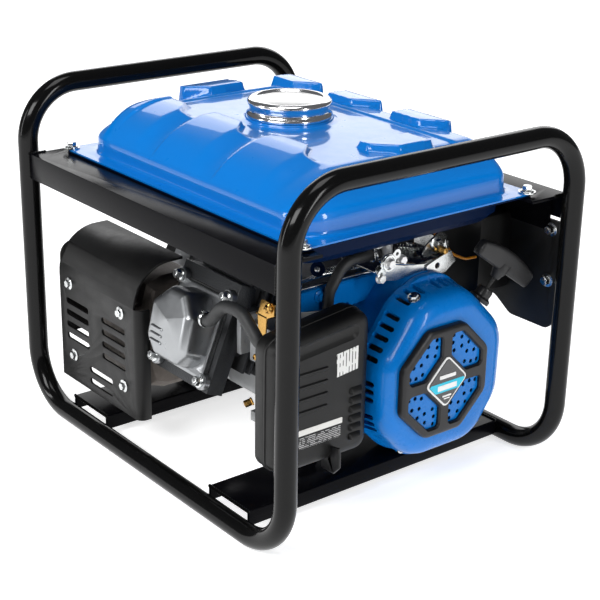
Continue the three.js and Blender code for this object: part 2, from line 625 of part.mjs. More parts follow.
/** Cooling slots through the starter cover's walls, as [first y, first z, step y, step z, count]. */
function coolingSlots() {
  const from = coverStart + 10;
  const rows = [
    [-36, 160, 7, 8.6, 5], [4, 208, 9, 4, 3], [44, 220, 9, -1, 3], [-44, 118, 0, 9, 3], [-40, 82, 0, 9, 3],
  ];
  return rows.flatMap(([y, z, dy, dz, count]) => Array.from({ length: count }, (_, i) => {
    const [cy, cz] = [y + i * dy, z + i * dz];
    const steep = Math.atan2(cz - crank.z, cy - crank.y);
    const tool = block([from, from + slot.depth], [-16, 16], [-slot.height / 2, slot.height / 2]);
    return tool.rotateX(steep).translate(0, cy, cz);
  }));
}

const pull = { x: 188, y: 100, z: 193 };
const hollowStarter = cut(
  join(
    prism('x', outline(starterPoints, shroud.corner), coverStart + 3, starter.front, { bevel: 6 }),
    prism('x', outline(rimPoints, shroud.corner), coverStart, coverStart + 9, { bevel: 2.5 }),
  ),
  prism('x', outline(inward(starterPoints, starter.wall), shroud.corner), coverStart - 1,
    starter.front - starter.wall, { bevel: 4 }),
  drum('z', 4, pull.z - 32, pull.z + 20, [pull.x, pull.y], 10),
  ...coolingSlots(),
);
const spindle = drum('x', 8.5, 176, starter.front - 1, crankAxis, 12);
add('starter_cover', join(hollowStarter, spindle), tankBlue);

const grilleCentre = [29, 133];
const octagon = (radius) => Array.from({ length: 8 }, (_, i) => {
  const angle = ((i + 0.5) * Math.PI) / 4;
  return [grilleCentre[0] + radius * Math.cos(angle), grilleCentre[1] + radius * Math.sin(angle)];
});
const windowAngles = [0.25, 0.75, 1.25, 1.75].map((turn) => turn * Math.PI);
const windows = windowAngles.map((angle) => {
  const [y, z] = [grilleCentre[0] + 37 * Math.cos(angle), grilleCentre[1] + 37 * Math.sin(angle)];
  return drum('x', 15, starter.front - 1, starter.front + 20, [y, z], 10);
});
add('starter_grille', cut(
  prism('x', outline(octagon(63), 10), starter.front + gap, starter.front + gap + starter.grille, { bevel: 2 }),
  ...windows,
), blackPlastic);

add('starter_reel', turned('x', [
  [9, 178], [starter.reelRadius + 9, 178], [starter.reelRadius + 9, 180], [starter.reelRadius, 180],
  [starter.reelRadius, 180 + starter.reelThick], [starter.reelRadius + 9, 180 + starter.reelThick],
  [starter.reelRadius + 9, 182 + starter.reelThick], [9, 182 + starter.reelThick], [9, 178],
], crankAxis, 20), greyPlastic);

const lead = new THREE.Vector3(0.17, 0.57, 0.8).normalize();
const guideBase = new THREE.Vector3(pull.x, pull.y, pull.z);

/** Turns and moves a shape drawn up the Z axis so that it points along the starter rope at rest. */
function alongRope(shape, distance) {
  const turn = new THREE.Quaternion().setFromUnitVectors(new THREE.Vector3(0, 0, 1), lead);
  return shape.applyQuaternion(turn).translate(...guideBase.clone().addScaledVector(lead, distance).toArray());
}

add('rope_guide', alongRope(turned('z', [
  [3.2, 0], [11, 0], [11, 5], [8.5, 8], [8.5, 14], [6, 16], [3.2, 16], [3.2, 0],
], [0, 0], 14), 0), blackPlastic);
const ropeR = 2.2;
add('starter_rope', alongRope(drum('z', ropeR, 0, 12, [0, 0], 8), 16 + gap), rubber);
const grip = { low: 29, length: 112, thick: 20 };
const gripAxis = new THREE.Vector3(0, 0.8, -0.6);

/** T grip: a rounded bar square to the rope, on a stepped stem. */
function starterHandle() {
  const half = grip.length / 2;
  const bar = bentBar([[-half, 0, 0], [0, 0, 4], [half, 0, 0]], 200, grip.thick / 2 - 1, 10, 4);
  const across = gripAxis.clone().addScaledVector(lead, -gripAxis.dot(lead)).normalize();
  const frameOfGrip = new THREE.Matrix4().makeBasis(across, lead.clone().cross(across), lead);
  const centre = guideBase.clone().addScaledVector(lead, grip.low + 18);
  bar.applyMatrix4(frameOfGrip.setPosition(centre));
  const stem = [[0, 0], [6, 0], [8, 6], [8, 12], [11, 14], [11, 20], [0, 20]];
  return join(bar, alongRope(turned('z', stem, [0, 0], 14), grip.low));
}
add('starter_handle', starterHandle(), greyPlastic);

// ------------------------------------------------------------------ carburettor, air cleaner and hoses

const carbFrom = headSideHigh + 4 + gap;
const carbTo = filter.spigot - gap;
const carbHigh = portZ + 18;
const carbInlet = { x: carbFrom + 40, y: portY + 20, z: portZ - 12 };
add('carburettor', cut(
  join(
    drum('x', 17, carbFrom, carbTo, [portY, portZ], 14),
    block([carbFrom + 14, carbTo - 18], [portY - 20, portY + 20], [portZ - 24, carbHigh]),
    drum('z', 19, portZ - 56, portZ - 22, [carbFrom + 34, portY], 18),
    block([carbFrom, carbFrom + 6], [portY - 26, portY + 26], [portZ - 20, portZ + 20]),
  ),
  drum('x', 11, carbFrom - 1, carbTo + 1, [portY, portZ], 12),
), castAluminium);

const filterShape = (inset) => outline([
  [filter.left + inset, filter.low + inset], [filter.right - inset, filter.low + inset],
  [filter.right - inset, filter.high - inset], [filter.left + inset, filter.high - filter.slope - inset],
], 15);
const filterRibs = [134, 147, 160, 173].map((z) =>
  block([filter.front - 1, filter.front + 1.5], [-153, -103], [z - 2.2, z + 2.2]));
add('air_cleaner_base', cut(
  join(
    prism('x', filterShape(0), filter.back, filter.split, { bevel: 2 }),
    drum('x', 16, filter.spigot, filter.back + 2, [portY, portZ], 16),
  ),
  prism('x', filterShape(filter.wall), filter.back + filter.wall, filter.split + 9),
  drum('x', 11, filter.spigot - 1, filter.back + 9, [portY, portZ], 12),
), satinBlack);
add('air_cleaner_cover', cut(
  join(prism('x', filterShape(0), filter.split - 5, filter.front, { bevel: 5 }), ...filterRibs),
  prism('x', filterShape(filter.wall), filter.split - 9, filter.front - filter.wall, { bevel: 5 }),
  block([filter.front - 1.4, filter.front + 1], [filter.left + 9, -68], [190, 203]),
  block([filter.back, filter.split + gap], [filter.left, filter.right], [filter.low, filter.high]),
), satinBlack);
add('air_filter_element', cut(
  prism('x', filterShape(12), filter.split - 8, filter.front - 6),
  drum('x', 24, filter.split - 9, filter.front - 14, [portY, portZ], 16),
), foam);
const latch = { side: [-105, -87], thick: 4, low: filter.low - 6 - gap, high: filter.low + 16 };
add('air_cleaner_latch', join(
  block([filter.split + 4, filter.front + 6], latch.side, [latch.low, latch.low + latch.thick]),
  block([filter.front + gap, filter.front + 6], latch.side, [latch.low, latch.high]),
), blackPlastic);

const spoutEnd = tap.y - tap.dia / 2 - gap;
const fuelHose = [
  [tap.x, spoutEnd, tapMiddle], [tap.x, spoutEnd - 44, tapMiddle], [tap.x - 2, spoutEnd - 62, tapMiddle - 30],
  [tap.x - 4, spoutEnd - 62, carbInlet.z + 6], [carbInlet.x, spoutEnd - 60, carbInlet.z],
  [carbInlet.x, carbInlet.y + gap, carbInlet.z],
];
const spoutRoom = [tap.y - tap.dia / 2 - spout.length - 1, tap.y];
add('fuel_hose', cut(
  bentBar(fuelHose, 24, hoseR, 8, 3),
  drum('y', spout.radius + gap, ...spoutRoom, [tapMiddle, tap.x], 10),
), rubber);

const nipple = { along: coverFace + 29, up: -13 };
const nippleY = crank.y - nipple.along * Math.cos(tilt) + nipple.up * Math.sin(tilt);
const nippleZ = crank.z + nipple.along * Math.sin(tilt) + nipple.up * Math.cos(tilt);
const nippleX = bore.x + valveCover.boltX + gap;
const breatherEnd = { x: filter.back - gap, y: filter.left + 15, z: filter.high - 28 };
add('breather_hose', bentBar([
  [nippleX, nippleY, nippleZ], [nippleX + 13, nippleY, nippleZ], [nippleX + 32, nippleY + 2, nippleZ + 23],
  [breatherEnd.x - 40, breatherEnd.y, breatherEnd.z + 23], [breatherEnd.x - 12, breatherEnd.y, breatherEnd.z],
  [breatherEnd.x, breatherEnd.y, breatherEnd.z],
], 20, 6.0, 8, 4), rubber);

// ------------------------------------------------------------------ muffler and its shield

const louvre = { length: 48, height: 7, pitch: 14 };
const posts = [[-176, 160], [-70, 159], [-170, 76], [-66, 76]];
const shieldBack = shield.y + shield.thick;
const mufflerCan = rectangle(muffler.front, muffler.back, muffler.low, muffler.high, 26);
const portFace = headSideLow - 4 - gap;
const tailPipe = [muffler.back - 26, muffler.high - 30];
add('muffler', cut(
  join(
    prism('x', mufflerCan, muffler.left, muffler.right, { bevel: 8 }),
    drum('x', 13, muffler.right - 4, portFace, [portY, portZ], 14),
    drum('x', 20, portFace - 6, portFace, [portY, portZ], 14),
    drum('x', 9, muffler.left - 14, muffler.left + 4, tailPipe, 12),
    ...posts.map(([x, z]) => drum('y', 5, shieldBack + gap, muffler.front + 4, [z, x], 8)),
  ),
  drum('x', 9, headSideLow - 20, headSideLow, [portY, portZ], 12),
  drum('x', 6.5, muffler.left - 15, muffler.left - 2, tailPipe, 12),
), finish(0x4a4744, 0.7, 0.7));

/** Folded sheet: a front plate that rolls back over the top, with a side lip. */
function mufflerShield() {
  const { y, left, right, low, high, bend, thick } = shield;
  const reach = y + 64;
  const section = new THREE.Shape();
  section.moveTo(y, low);
  section.lineTo(y + thick, low);
  section.lineTo(y + thick, high - bend);
  section.absarc(y + bend, high - bend, bend - thick, Math.PI, Math.PI / 2, true);
  section.lineTo(reach, high - thick);
  section.lineTo(reach, high);
  section.lineTo(y + bend, high);
  section.absarc(y + bend, high - bend, bend, Math.PI / 2, Math.PI, false);
  section.closePath();
  const sheet = prism('x', section, left, right, { curveSegments: 6 });
  const lip = block([right - thick, right], [y, y + 13], [low, high - bend]);
  const slots = [];
  const slotRow = (x, top, count) => {
    for (let i = 0; i < count; i += 1) {
      const z = top - i * louvre.pitch;
      slots.push(block([x, x + louvre.length], [y - 1, y + thick + 1], [z - louvre.height, z]));
    }
  };
  slotRow(left + 13, 142, 4);
  slotRow(right - 74, 142, 4);
  slotRow(right - 102, 74, 2);
  return cut(join(sheet, lip), ...slots);
}
add('muffler_shield', mufflerShield(), satinBlack);

// ------------------------------------------------------------------ governor and throttle controls

const caseTop = Math.max(...caseOutline.map(([, z]) => z)) + gap;
const plate = { z: 231, thick: 2.5, x: [92, 152], y: [-4, 92] };
const plateTop = plate.z + plate.thick;
add('control_bracket', join(
  block(plate.x, plate.y, [plate.z, plateTop]),
  block([plate.x[0], plate.x[0] + plate.thick], [plate.y[0] + 20, plate.y[1]], [caseTop, plateTop]),
  block([plate.x[0], plate.x[0] + 16], [plate.y[0] + 30, 38], [caseTop, caseTop + plate.thick]),
  block([100, 150], [plate.y[1] - plate.thick, plate.y[1]], [plate.z, plateTop + 16]),
), zinc);

/** A flat lever on a pivot, drawn flat on the control plate: a boss, an arm and a pin at its end. */
function flatLever(x, y, low, reach, heading) {
  const arm = join(
    drum('z', 7, low, low + 6, [0, 0], 12),
    block([0, reach], [-4, 4], [low, low + 2.5]),
    drum('z', 4, low, low + 7, [reach, 0], 10),
  );
  return arm.rotateZ(THREE.MathUtils.degToRad(heading)).translate(x, y, 0);
}
const throttlePivot = [122, 64];
add('throttle_lever', flatLever(...throttlePivot, plateTop + gap, 34, 200), zinc);
const governor = { x: 80, y: 2, length: 66 };
add('governor_arm', join(
  drum('z', 5, caseTop, caseTop + 14, [governor.x, governor.y], 12),
  block([governor.x - 4, governor.x + 4], [governor.y - governor.length, governor.y],
    [caseTop + 8, caseTop + 11]),
  drum('z', 3.5, caseTop + 8, caseTop + 16, [governor.x, governor.y - governor.length + 4], 10),
), zinc);
const chokeX = carbTo - 12;
const chokeSide = portY - 20 - gap;
add('choke_lever', join(
  drum('y', 6, chokeSide - 5, chokeSide, [portZ, chokeX], 12),
  block([chokeX - 3.5, chokeX + 3.5], [chokeSide - 5, chokeSide - 1], [portZ - 34, portZ]),
), greyPlastic);

// ------------------------------------------------------------------ oil filler

const stickSeat = dipstick.y + 8 + gap;
const [stickEnd, knobTop, knobRim] = [stickSeat - dipstick.reach, stickSeat + 14, dipstick.knob + 4];
add('oil_dipstick', turned('y', [
  [0, stickEnd], [7.5, stickEnd], [7.5, stickSeat], [knobRim, stickSeat],
  [knobRim, stickSeat + 4], [dipstick.knob, stickSeat + 6], [dipstick.knob, knobTop], [0, knobTop],
], [dipstick.z, dipstick.x], 14), greyPlastic);

// ------------------------------------------------------------------ control panel

const panelInner = sideY - 0.5;
const panelOuter = panelInner + panel.thick;
const panelX = hoopX - tubeR - 2;
const panelHigh = railTop - rail.height - 3;
const panelLow = panelHigh - panel.height;
const panelMiddle = (panelHigh + panelLow) / 2;
const nutX = panelX - 11;
const nutZ = [panelHigh - 10, panelLow + 38];
const controls = {
  left_outlet: { x: -120, radius: 22 }, right_outlet: { x: -58, radius: 22 }, voltmeter: { x: 0, radius: 17 },
  breaker: { x: 46, radius: 5 }, engine_switch: { x: 86 }, dc: { x: 126, radius: 6 },
};
const rocker = controls.engine_switch;
const panelHole = (x, radius) => drum('y', radius + gap, panelInner - 1, panelOuter + 1, [panelMiddle, x], 16);
const skirtLow = panelLow - panel.skirt;
const panelHalf = [
  [panelHigh, panelX], [skirtLow + panel.chamfer, panelX], [skirtLow, panelX - panel.chamfer],
  [skirtLow, panel.skirtStart + 1.5 * panel.skirt], [panelLow, panel.skirtStart],
];
const panelEdge = [...panelHalf, ...panelHalf.map(([z, x]) => [z, -x]).reverse()];
add('control_panel', cut(
  prism('y', outline(panelEdge, 4), panelInner, panelOuter),
  panelHole(controls.left_outlet.x, 17), panelHole(controls.right_outlet.x, 17),
  panelHole(controls.voltmeter.x, 14),
  panelHole(controls.breaker.x, controls.breaker.radius), panelHole(controls.dc.x, controls.dc.radius),
  block([rocker.x - 9, rocker.x + 9], [panelInner - 1, panelOuter + 1], [panelMiddle - 12, panelMiddle + 12]),
  ...nutZ.map((z) => drum('y', 3 + gap, panelInner - 1, panelOuter + 1, [z, nutX], 10)),
), satinBlack);

const box = {
  x: [50 - panelX, 152], y: [panelInner - gap - panel.depth, panelInner - gap],
  z: [panelLow + 12, panelHigh - 4], wall: 2.5,
};
add('panel_back_box', cut(
  prism('y', rectangle(...box.z, ...box.x, 8), ...box.y),
  block([box.x[0] + box.wall, box.x[1] - box.wall], [box.y[0] + box.wall, box.y[1] + 1],
    [box.z[0] + box.wall, box.z[1] - box.wall]),
), satinBlack);

const face = panelOuter + gap;
for (const side of ['left', 'right']) {
  const { x, radius } = controls[`${side}_outlet`];
  add(`${side}_ac_outlet`, turned('y', [
    [0, panelInner - 12], [16.5, panelInner - 12], [16.5, face], [radius, face], [radius, face + 5],
    [19, face + 6], [19, face - 6], [0, face - 6],
  ], [panelMiddle, x], 20), greyPlastic);
}
add('voltmeter', turned('y', [
  [0, panelInner - 14], [13.5, panelInner - 14], [13.5, face], [controls.voltmeter.radius, face],
  [controls.voltmeter.radius, face + 5], [0, face + 5],
], [panelMiddle, controls.voltmeter.x], 20), blackPlastic);
add('breaker_button', turned('y', [
  [0, panelInner - 4], [4.6, panelInner - 4], [4.6, face + 6], [3.6, face + 7], [0, face + 7],
], [panelMiddle, controls.breaker.x], 14), redPlastic);
add('engine_switch', prism('x', outline([
  [panelInner - 4, panelMiddle - 6], [panelInner - 4, panelMiddle + 6], [face + 6, panelMiddle + 10],
  [face + 3, panelMiddle], [face + 3.5, panelMiddle - 10],
]), rocker.x - 8, rocker.x + 8), redPlastic);

add('piston', alongBore(cut(
  drum('x', bore.dia / 2 - 3 * gap, barrel.to - 52, barrel.to - 4, [0, 0], 24),
  drum('x', bore.dia / 2 - 6, barrel.to - 53, barrel.to - 12, [0, 0], 20),
)), castAluminium);

export default generator;
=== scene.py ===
"""Portable open-frame petrol generator: fine meshes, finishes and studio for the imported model."""

import json
import logging
import math
from dataclasses import dataclass
from enum import Enum
from typing import Sequence

import bmesh
import bpy
from mathutils import Matrix, Vector

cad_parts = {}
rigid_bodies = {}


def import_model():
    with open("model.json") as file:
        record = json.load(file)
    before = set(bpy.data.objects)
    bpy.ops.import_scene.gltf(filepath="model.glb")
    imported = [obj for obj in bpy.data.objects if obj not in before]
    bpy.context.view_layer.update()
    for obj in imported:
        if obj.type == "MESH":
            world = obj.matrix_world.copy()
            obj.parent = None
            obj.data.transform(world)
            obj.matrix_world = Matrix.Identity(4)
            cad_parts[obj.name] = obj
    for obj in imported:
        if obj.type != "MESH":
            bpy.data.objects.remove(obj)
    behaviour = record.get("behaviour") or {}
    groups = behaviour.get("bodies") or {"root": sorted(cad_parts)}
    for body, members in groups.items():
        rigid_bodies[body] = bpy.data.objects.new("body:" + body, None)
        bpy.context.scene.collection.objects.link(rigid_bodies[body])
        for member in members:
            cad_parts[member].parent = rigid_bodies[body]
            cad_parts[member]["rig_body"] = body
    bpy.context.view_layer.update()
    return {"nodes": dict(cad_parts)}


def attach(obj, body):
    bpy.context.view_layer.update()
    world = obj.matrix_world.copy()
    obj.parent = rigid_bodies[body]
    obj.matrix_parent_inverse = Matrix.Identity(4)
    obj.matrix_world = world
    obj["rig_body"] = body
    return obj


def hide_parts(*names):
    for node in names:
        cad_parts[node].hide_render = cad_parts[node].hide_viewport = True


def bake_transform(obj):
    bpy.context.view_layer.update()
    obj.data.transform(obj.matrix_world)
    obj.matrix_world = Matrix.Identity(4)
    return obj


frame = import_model()

LOG = logging.getLogger("generator")
MM = 0.001
Point2 = tuple[float, float]
Point3 = tuple[float, float, float]
Box2 = tuple[float, float, float, float]


# ---------------------------------------------------------------- shader expressions


class Wire:
    """A shader value; Python operators on it add Math nodes."""

    def __init__(self, bench: "Bench", socket: bpy.types.NodeSocket) -> None:
        """Wraps a socket of the bench's node tree."""
        self.bench = bench
        self.socket = socket

    def _math(self, operation: str, first: object, second: object) -> "Wire":
        """Adds one Math node.

        Args:
            operation: the Math node's operation.
            first: the first operand, a wire or a number.
            second: the second operand, a wire or a number.

        Returns:
            The node's result.
        """
        return self.bench.node("ShaderNodeMath", {"operation": operation}, [first, second])

    def __add__(self, other: object) -> "Wire":
        """Sum."""
        return self._math("ADD", self, other)

    __radd__ = __add__

    def __sub__(self, other: object) -> "Wire":
        """Difference."""
        return self._math("SUBTRACT", self, other)

    def __rsub__(self, other: object) -> "Wire":
        """Difference with the number first."""
        return self._math("SUBTRACT", other, self)

    def __mul__(self, other: object) -> "Wire":
        """Product."""
        return self._math("MULTIPLY", self, other)

    __rmul__ = __mul__

    def above(self, other: object) -> "Wire":
        """One where this is greater."""
        return self._math("GREATER_THAN", self, other)


class Bench:
    """Node tree of one material, with short ways to add its nodes."""

    def __init__(self, name: str) -> None:
        """Starts an empty material.

        Args:
            name: the material's name.
        """
        self.material = bpy.data.materials.new(name)
        self.material.use_nodes = True
        self.tree = self.material.node_tree
        self.tree.nodes.clear()
        self.place = self.node("ShaderNodeTexCoord", {}, {}, "Object")

    def node(
        self, kind: str, settings: dict[str, object], inputs: object, output: object = 0
    ) -> Wire:
        """Adds a node.

        Args:
            kind: the node's type.
            settings: its settings, set first; "stops" fills a colour ramp.
            inputs: values or wires by socket name, or in socket order.
            output: name or number of the output to return.

        Returns:
            The chosen output.
        """
        node = self.tree.nodes.new(kind)
        for key, value in settings.items():
            if key == "stops":
                self._fill_ramp(node.color_ramp, value)
            else:
                setattr(node, key, value)
        pairs = inputs.items() if isinstance(inputs, dict) else enumerate(inputs)
        for key, value in pairs:
            if isinstance(value, Wire):
                self.tree.links.new(value.socket, node.inputs[key])
            else:
                node.inputs[key].default_value = value
        return Wire(self, node.outputs[output])

    @staticmethod
    def _fill_ramp(ramp: bpy.types.ColorRamp, stops: Sequence[tuple[float, float]]) -> None:
        """Gives a colour ramp grey stops of (position, grey)."""
        while len(ramp.elements) < len(stops):
            ramp.elements.new(1.0)
        for element, (position, grey) in zip(ramp.elements, stops):
            element.position = position
            element.color = (grey, grey, grey, 1.0)

    def noise(self, scale: float, detail: float = 2.0, roughness: float = 0.5) -> Wire:
        """Noise on object coordinates, 0 to 1."""
        inputs = {"Vector": self.place, "Scale": scale, "Detail": detail, "Roughness": roughness}
        return self.node("ShaderNodeTexNoise", {}, inputs, "Fac")

    def stretched_noise(self, scale: float, stretch: Point3) -> Wire:
        """Noise drawn out along one axis, for brushed and rolled metal."""
        vector = self.node("ShaderNodeMapping", {}, {"Vector": self.place, "Scale": stretch}, "Vector")
        return self.node("ShaderNodeTexNoise", {}, {"Vector": vector, "Scale": scale, "Detail": 3.0}, "Fac")

    def cells(self, scale: float) -> Wire:
        """Distance to the nearest cell point."""
        return self.node("ShaderNodeTexVoronoi", {}, {"Vector": self.place, "Scale": scale}, "Distance")

    def ramp(self, value: Wire, stops: Sequence[tuple[float, float]]) -> Wire:
        """Grey ramp over a value."""
        return self.node("ShaderNodeValToRGB", {"stops": stops}, {"Fac": value}, "Color")

    def blend(self, factor: object, first: object, second: object) -> Wire:
        """Mixes two colours."""
        inputs = {0: factor, 6: first, 7: second}
        return self.node("ShaderNodeMix", {"data_type": "RGBA"}, inputs, 2)

    def bump(self, height: Wire, strength: float, distance: float) -> Wire:
        """Bumped normal."""
        inputs = {"Height": height, "Strength": strength, "Distance": distance}
        return self.node("ShaderNodeBump", {}, inputs, "Normal")

    def finish(self, inputs: dict[str, object]) -> bpy.types.Material:
        """Ends the tree in one principled shader.

        Args:
            inputs: the shader's values or wires by name.

        Returns:
            The finished material.
        """
        shader = self.node("ShaderNodeBsdfPrincipled", {}, inputs, "BSDF")
        output = self.tree.nodes.new("ShaderNodeOutputMaterial")
        self.tree.links.new(shader.socket, output.inputs["Surface"])
        return self.material


# ---------------------------------------------------------------- finishes


class Grain(Enum):
    """What the surface feels like close up."""

    ORANGE_PEEL = "orange peel"
    CAST = "cast"
    POLISHED_CAST = "polished cast"
    BRUSHED = "brushed"
    ROLLED = "rolled"
    PEBBLED = "pebbled"
    SCORCHED = "scorched"
    FOAM = "foam"
    TWIST = "twist"
    GLASSY = "glassy"


def rgb(color: Point3) -> tuple[float, float, float, float]:
    """Colour with full alpha."""
    return (*color, 1.0)


@dataclass(frozen=True)
class Finish:
    """One surface finish: its colour, gloss and close-up grain."""

    name: str
    slot: str
    color: Point3
    roughness: float
    metallic: float = 0.0
    coat: float = 0.0
    grain: Grain = Grain.ORANGE_PEEL
    mottle: float = 0.08
    dust: float = 0.0
    bump: float = 0.15
    specular: float = 0.5

    def build(self) -> bpy.types.Material:
        """Builds the material.

        Returns:
            A principled material whose colour, roughness and normal vary with the grain.
        """
        bench = Bench(self.name)
        height, distance = self._height(bench)
        cloud = bench.noise(35.0, 4.0, 0.6)
        darker = tuple(channel * (1.0 - self.mottle * 2.2) for channel in self.color)
        lighter = tuple(min(1.0, channel * (1.0 + self.mottle)) for channel in self.color)
        color = bench.blend(cloud, rgb(darker), rgb(lighter))
        if self.dust > 0:
            specks = bench.ramp(bench.noise(420.0, 3.0, 0.7), [(0.62, 0.0), (0.75, 1.0)])
            color = bench.blend(specks * self.dust, color, rgb((0.32, 0.31, 0.29)))
        smear = bench.ramp(bench.noise(60.0, 5.0, 0.65), [(0.3, 0.0), (0.75, 1.0)])
        spread = 0.35 * self.roughness
        inputs: dict[str, object] = {
            "Base Color": color,
            "Roughness": smear * spread + (self.roughness - 0.3 * spread),
            "Metallic": self.metallic,
            "Coat Weight": self.coat,
            "Coat Roughness": 0.04,
            "Normal": bench.bump(height, self.bump, distance),
        }
        if self.metallic < 0.5:
            inputs["Specular IOR Level"] = self.specular
        return bench.finish(inputs)

    def _height(self, bench: Bench) -> tuple[Wire, float]:
        """The grain's height and how deep it is in metres."""
        if self.grain is Grain.CAST:
            return bench.noise(900.0, 4.0, 0.7) + bench.cells(520.0) * 0.5, 0.0007
        if self.grain is Grain.POLISHED_CAST:
            return bench.noise(110.0, 3.0, 0.5) * 0.8 + bench.noise(700.0, 2.0) * 0.2, 0.0006
        if self.grain is Grain.BRUSHED:
            return bench.stretched_noise(500.0, (1.0, 0.04, 0.04)), 0.0003
        if self.grain is Grain.ROLLED:
            return bench.stretched_noise(160.0, (0.15, 1.0, 1.0)), 0.0004
        if self.grain is Grain.PEBBLED:
            return bench.cells(1400.0) + bench.noise(600.0, 2.0) * 0.4, 0.0003
        if self.grain is Grain.SCORCHED:
            return bench.noise(240.0, 6.0, 0.75), 0.0010
        if self.grain is Grain.FOAM:
            return bench.cells(900.0), 0.0020
        if self.grain is Grain.TWIST:
            wave = {"Vector": bench.place, "Scale": 220.0, "Distortion": 1.0}
            return bench.node("ShaderNodeTexWave", {"bands_direction": "DIAGONAL"}, wave, "Fac"), 0.0008
        if self.grain is Grain.GLASSY:
            return bench.noise(40.0, 1.0), 0.0001
        return bench.noise(260.0, 2.0, 0.4) + bench.noise(45.0, 1.0) * 0.6, 0.0003


@dataclass(frozen=True)
class PrintFinish(Finish):
    """A flat printed finish with stripes across one axis, for labels and dials."""

    ink: Point3 = (0.02, 0.02, 0.02)
    stripes: float = 400.0
    axis: int = 2
    share: float = 0.5

    def build(self) -> bpy.types.Material:
        """Builds the striped print.

        Returns:
            A material of ink bars on the base colour.
        """
        bench = Bench(self.name)
        split = bench.node("ShaderNodeSeparateXYZ", {}, {"Vector": bench.place}, self.axis)
        phase = bench.node("ShaderNodeMath", {"operation": "FRACT"}, [split * self.stripes])
        broken = bench.ramp(bench.noise(self.stripes * 0.6, 1.0), [(0.42, 0.0), (0.46, 1.0)])
        bars = phase.above(1.0 - self.share) * broken
        color = bench.blend(bars, rgb(self.color), rgb(self.ink))
        rough = bench.noise(80.0, 3.0) * 0.15 + self.roughness
        normal = bench.bump(bench.noise(500.0, 2.0), 0.05, 0.0002)
        return bench.finish({"Base Color": color, "Roughness": rough, "Normal": normal})


TUBE_BLACK = Finish(
    "tube_black", "gloss_black_paint", (0.003, 0.003, 0.003), 0.14, coat=0.1, mottle=0.05, bump=0.06,
    specular=0.14,
)
RAIL_BLACK = Finish(
    "rail_black", "gloss_black_paint", (0.002, 0.002, 0.003), 0.2, mottle=0.05, bump=0.05, specular=0.06,
)
TANK_BLUE = Finish(
    "tank_blue", "blue_paint", (0.0, 0.165, 0.56), 0.3, coat=0.85, mottle=0.02, bump=0.03, specular=0.12,
)
SHROUD_BLUE = Finish(
    "shroud_blue", "blue_paint", (0.0, 0.16, 0.54), 0.27, coat=0.25, mottle=0.03, bump=0.05, specular=0.15,
)
# Near-black blue: painted shade. The lower tank shell is blue paint lying in shadow under the lip, and is
# given this dark colour in place of that shadow; the duct boss takes the same colour.
SHADED_UNDER_BLUE = Finish(
    "under_blue_painted_shade", "blue_paint", (0.0, 0.006, 0.03), 0.4, mottle=0.05, bump=0.05, specular=0.06,
)
CAST = Finish(
    "cast_aluminium", "cast_aluminium", (0.42, 0.43, 0.44), 0.42, metallic=0.95, grain=Grain.CAST,
    mottle=0.15, bump=0.5,
)
POLISHED = Finish(
    "polished_cover", "cast_aluminium", (0.34, 0.35, 0.36), 0.3, metallic=1.0, grain=Grain.POLISHED_CAST,
    mottle=0.08, bump=0.06,
)
DARK_CAST = Finish(
    "dark_casting", "dark_casting", (0.045, 0.047, 0.05), 0.42, metallic=0.75, grain=Grain.CAST, mottle=0.2,
    bump=0.5,
)
STEEL = Finish(
    "machined_steel", "steel", (0.45, 0.46, 0.47), 0.28, metallic=1.0, grain=Grain.BRUSHED, mottle=0.08,
    bump=0.2,
)
LAMINATED = Finish(
    "laminated_steel", "steel", (0.28, 0.28, 0.29), 0.4, metallic=0.9, grain=Grain.ROLLED, mottle=0.15,
    bump=0.8,
)
EXHAUST = Finish(
    "exhaust_steel", "exhaust_steel", (0.16, 0.14, 0.125), 0.55, metallic=0.8, grain=Grain.SCORCHED,
    mottle=0.25, dust=0.3, bump=0.6,
)
ZINC = Finish("zinc_plate", "zinc_plate", (0.66, 0.68, 0.68), 0.2, metallic=1.0, mottle=0.12, bump=0.2)
GOLD_ZINC = Finish("yellow_zinc", "zinc_plate", (0.62, 0.36, 0.1), 0.25, metallic=1.0, mottle=0.2, bump=0.2)
CHROME = Finish(
    "chrome", "chrome", (0.9, 0.9, 0.91), 0.16, metallic=1.0, grain=Grain.GLASSY, mottle=0.02, bump=0.05,
)
SATIN_CHROME = Finish(
    "satin_chrome", "chrome", (0.9, 0.9, 0.89), 0.42, metallic=0.8, grain=Grain.BRUSHED, mottle=0.03,
    bump=0.1,
)
COPPER = Finish(
    "copper_winding", "copper", (0.42, 0.13, 0.05), 0.35, metallic=0.8, grain=Grain.TWIST, mottle=0.2,
    bump=0.8,
)
SATIN_BLACK = Finish(
    "satin_black", "satin_black_paint", (0.007, 0.007, 0.007), 0.4, grain=Grain.PEBBLED, mottle=0.12,
    bump=0.12, specular=0.25,
)
BLACK_PLASTIC = Finish(
    "black_plastic", "black_plastic", (0.007, 0.007, 0.008), 0.34, grain=Grain.PEBBLED, mottle=0.1,
    bump=0.12, specular=0.35,
)
GREY_PLASTIC = Finish(
    "grey_plastic", "grey_plastic", (0.012, 0.012, 0.013), 0.4, grain=Grain.PEBBLED, mottle=0.1, bump=0.2,
    specular=0.35,
)
WHITE_PLASTIC = Finish(
    "white_plastic", "white_plastic", (0.72, 0.71, 0.68), 0.25, grain=Grain.GLASSY, mottle=0.04,
)
RED_PLASTIC = Finish("red_plastic", "red_plastic", (0.5, 0.012, 0.012), 0.3, grain=Grain.PEBBLED, mottle=0.08)
RUBBER = Finish(
    "rubber", "rubber", (0.014, 0.015, 0.016), 0.5, grain=Grain.PEBBLED, mottle=0.15, dust=0.1, bump=0.25,
)
ROPE = Finish("braided_rope", "rope", (0.03, 0.03, 0.03), 0.8, grain=Grain.TWIST, mottle=0.3, bump=1.0)
FOAM = Finish("filter_foam", "foam", (0.045, 0.045, 0.04), 0.95, grain=Grain.FOAM, mottle=0.3, bump=1.0)
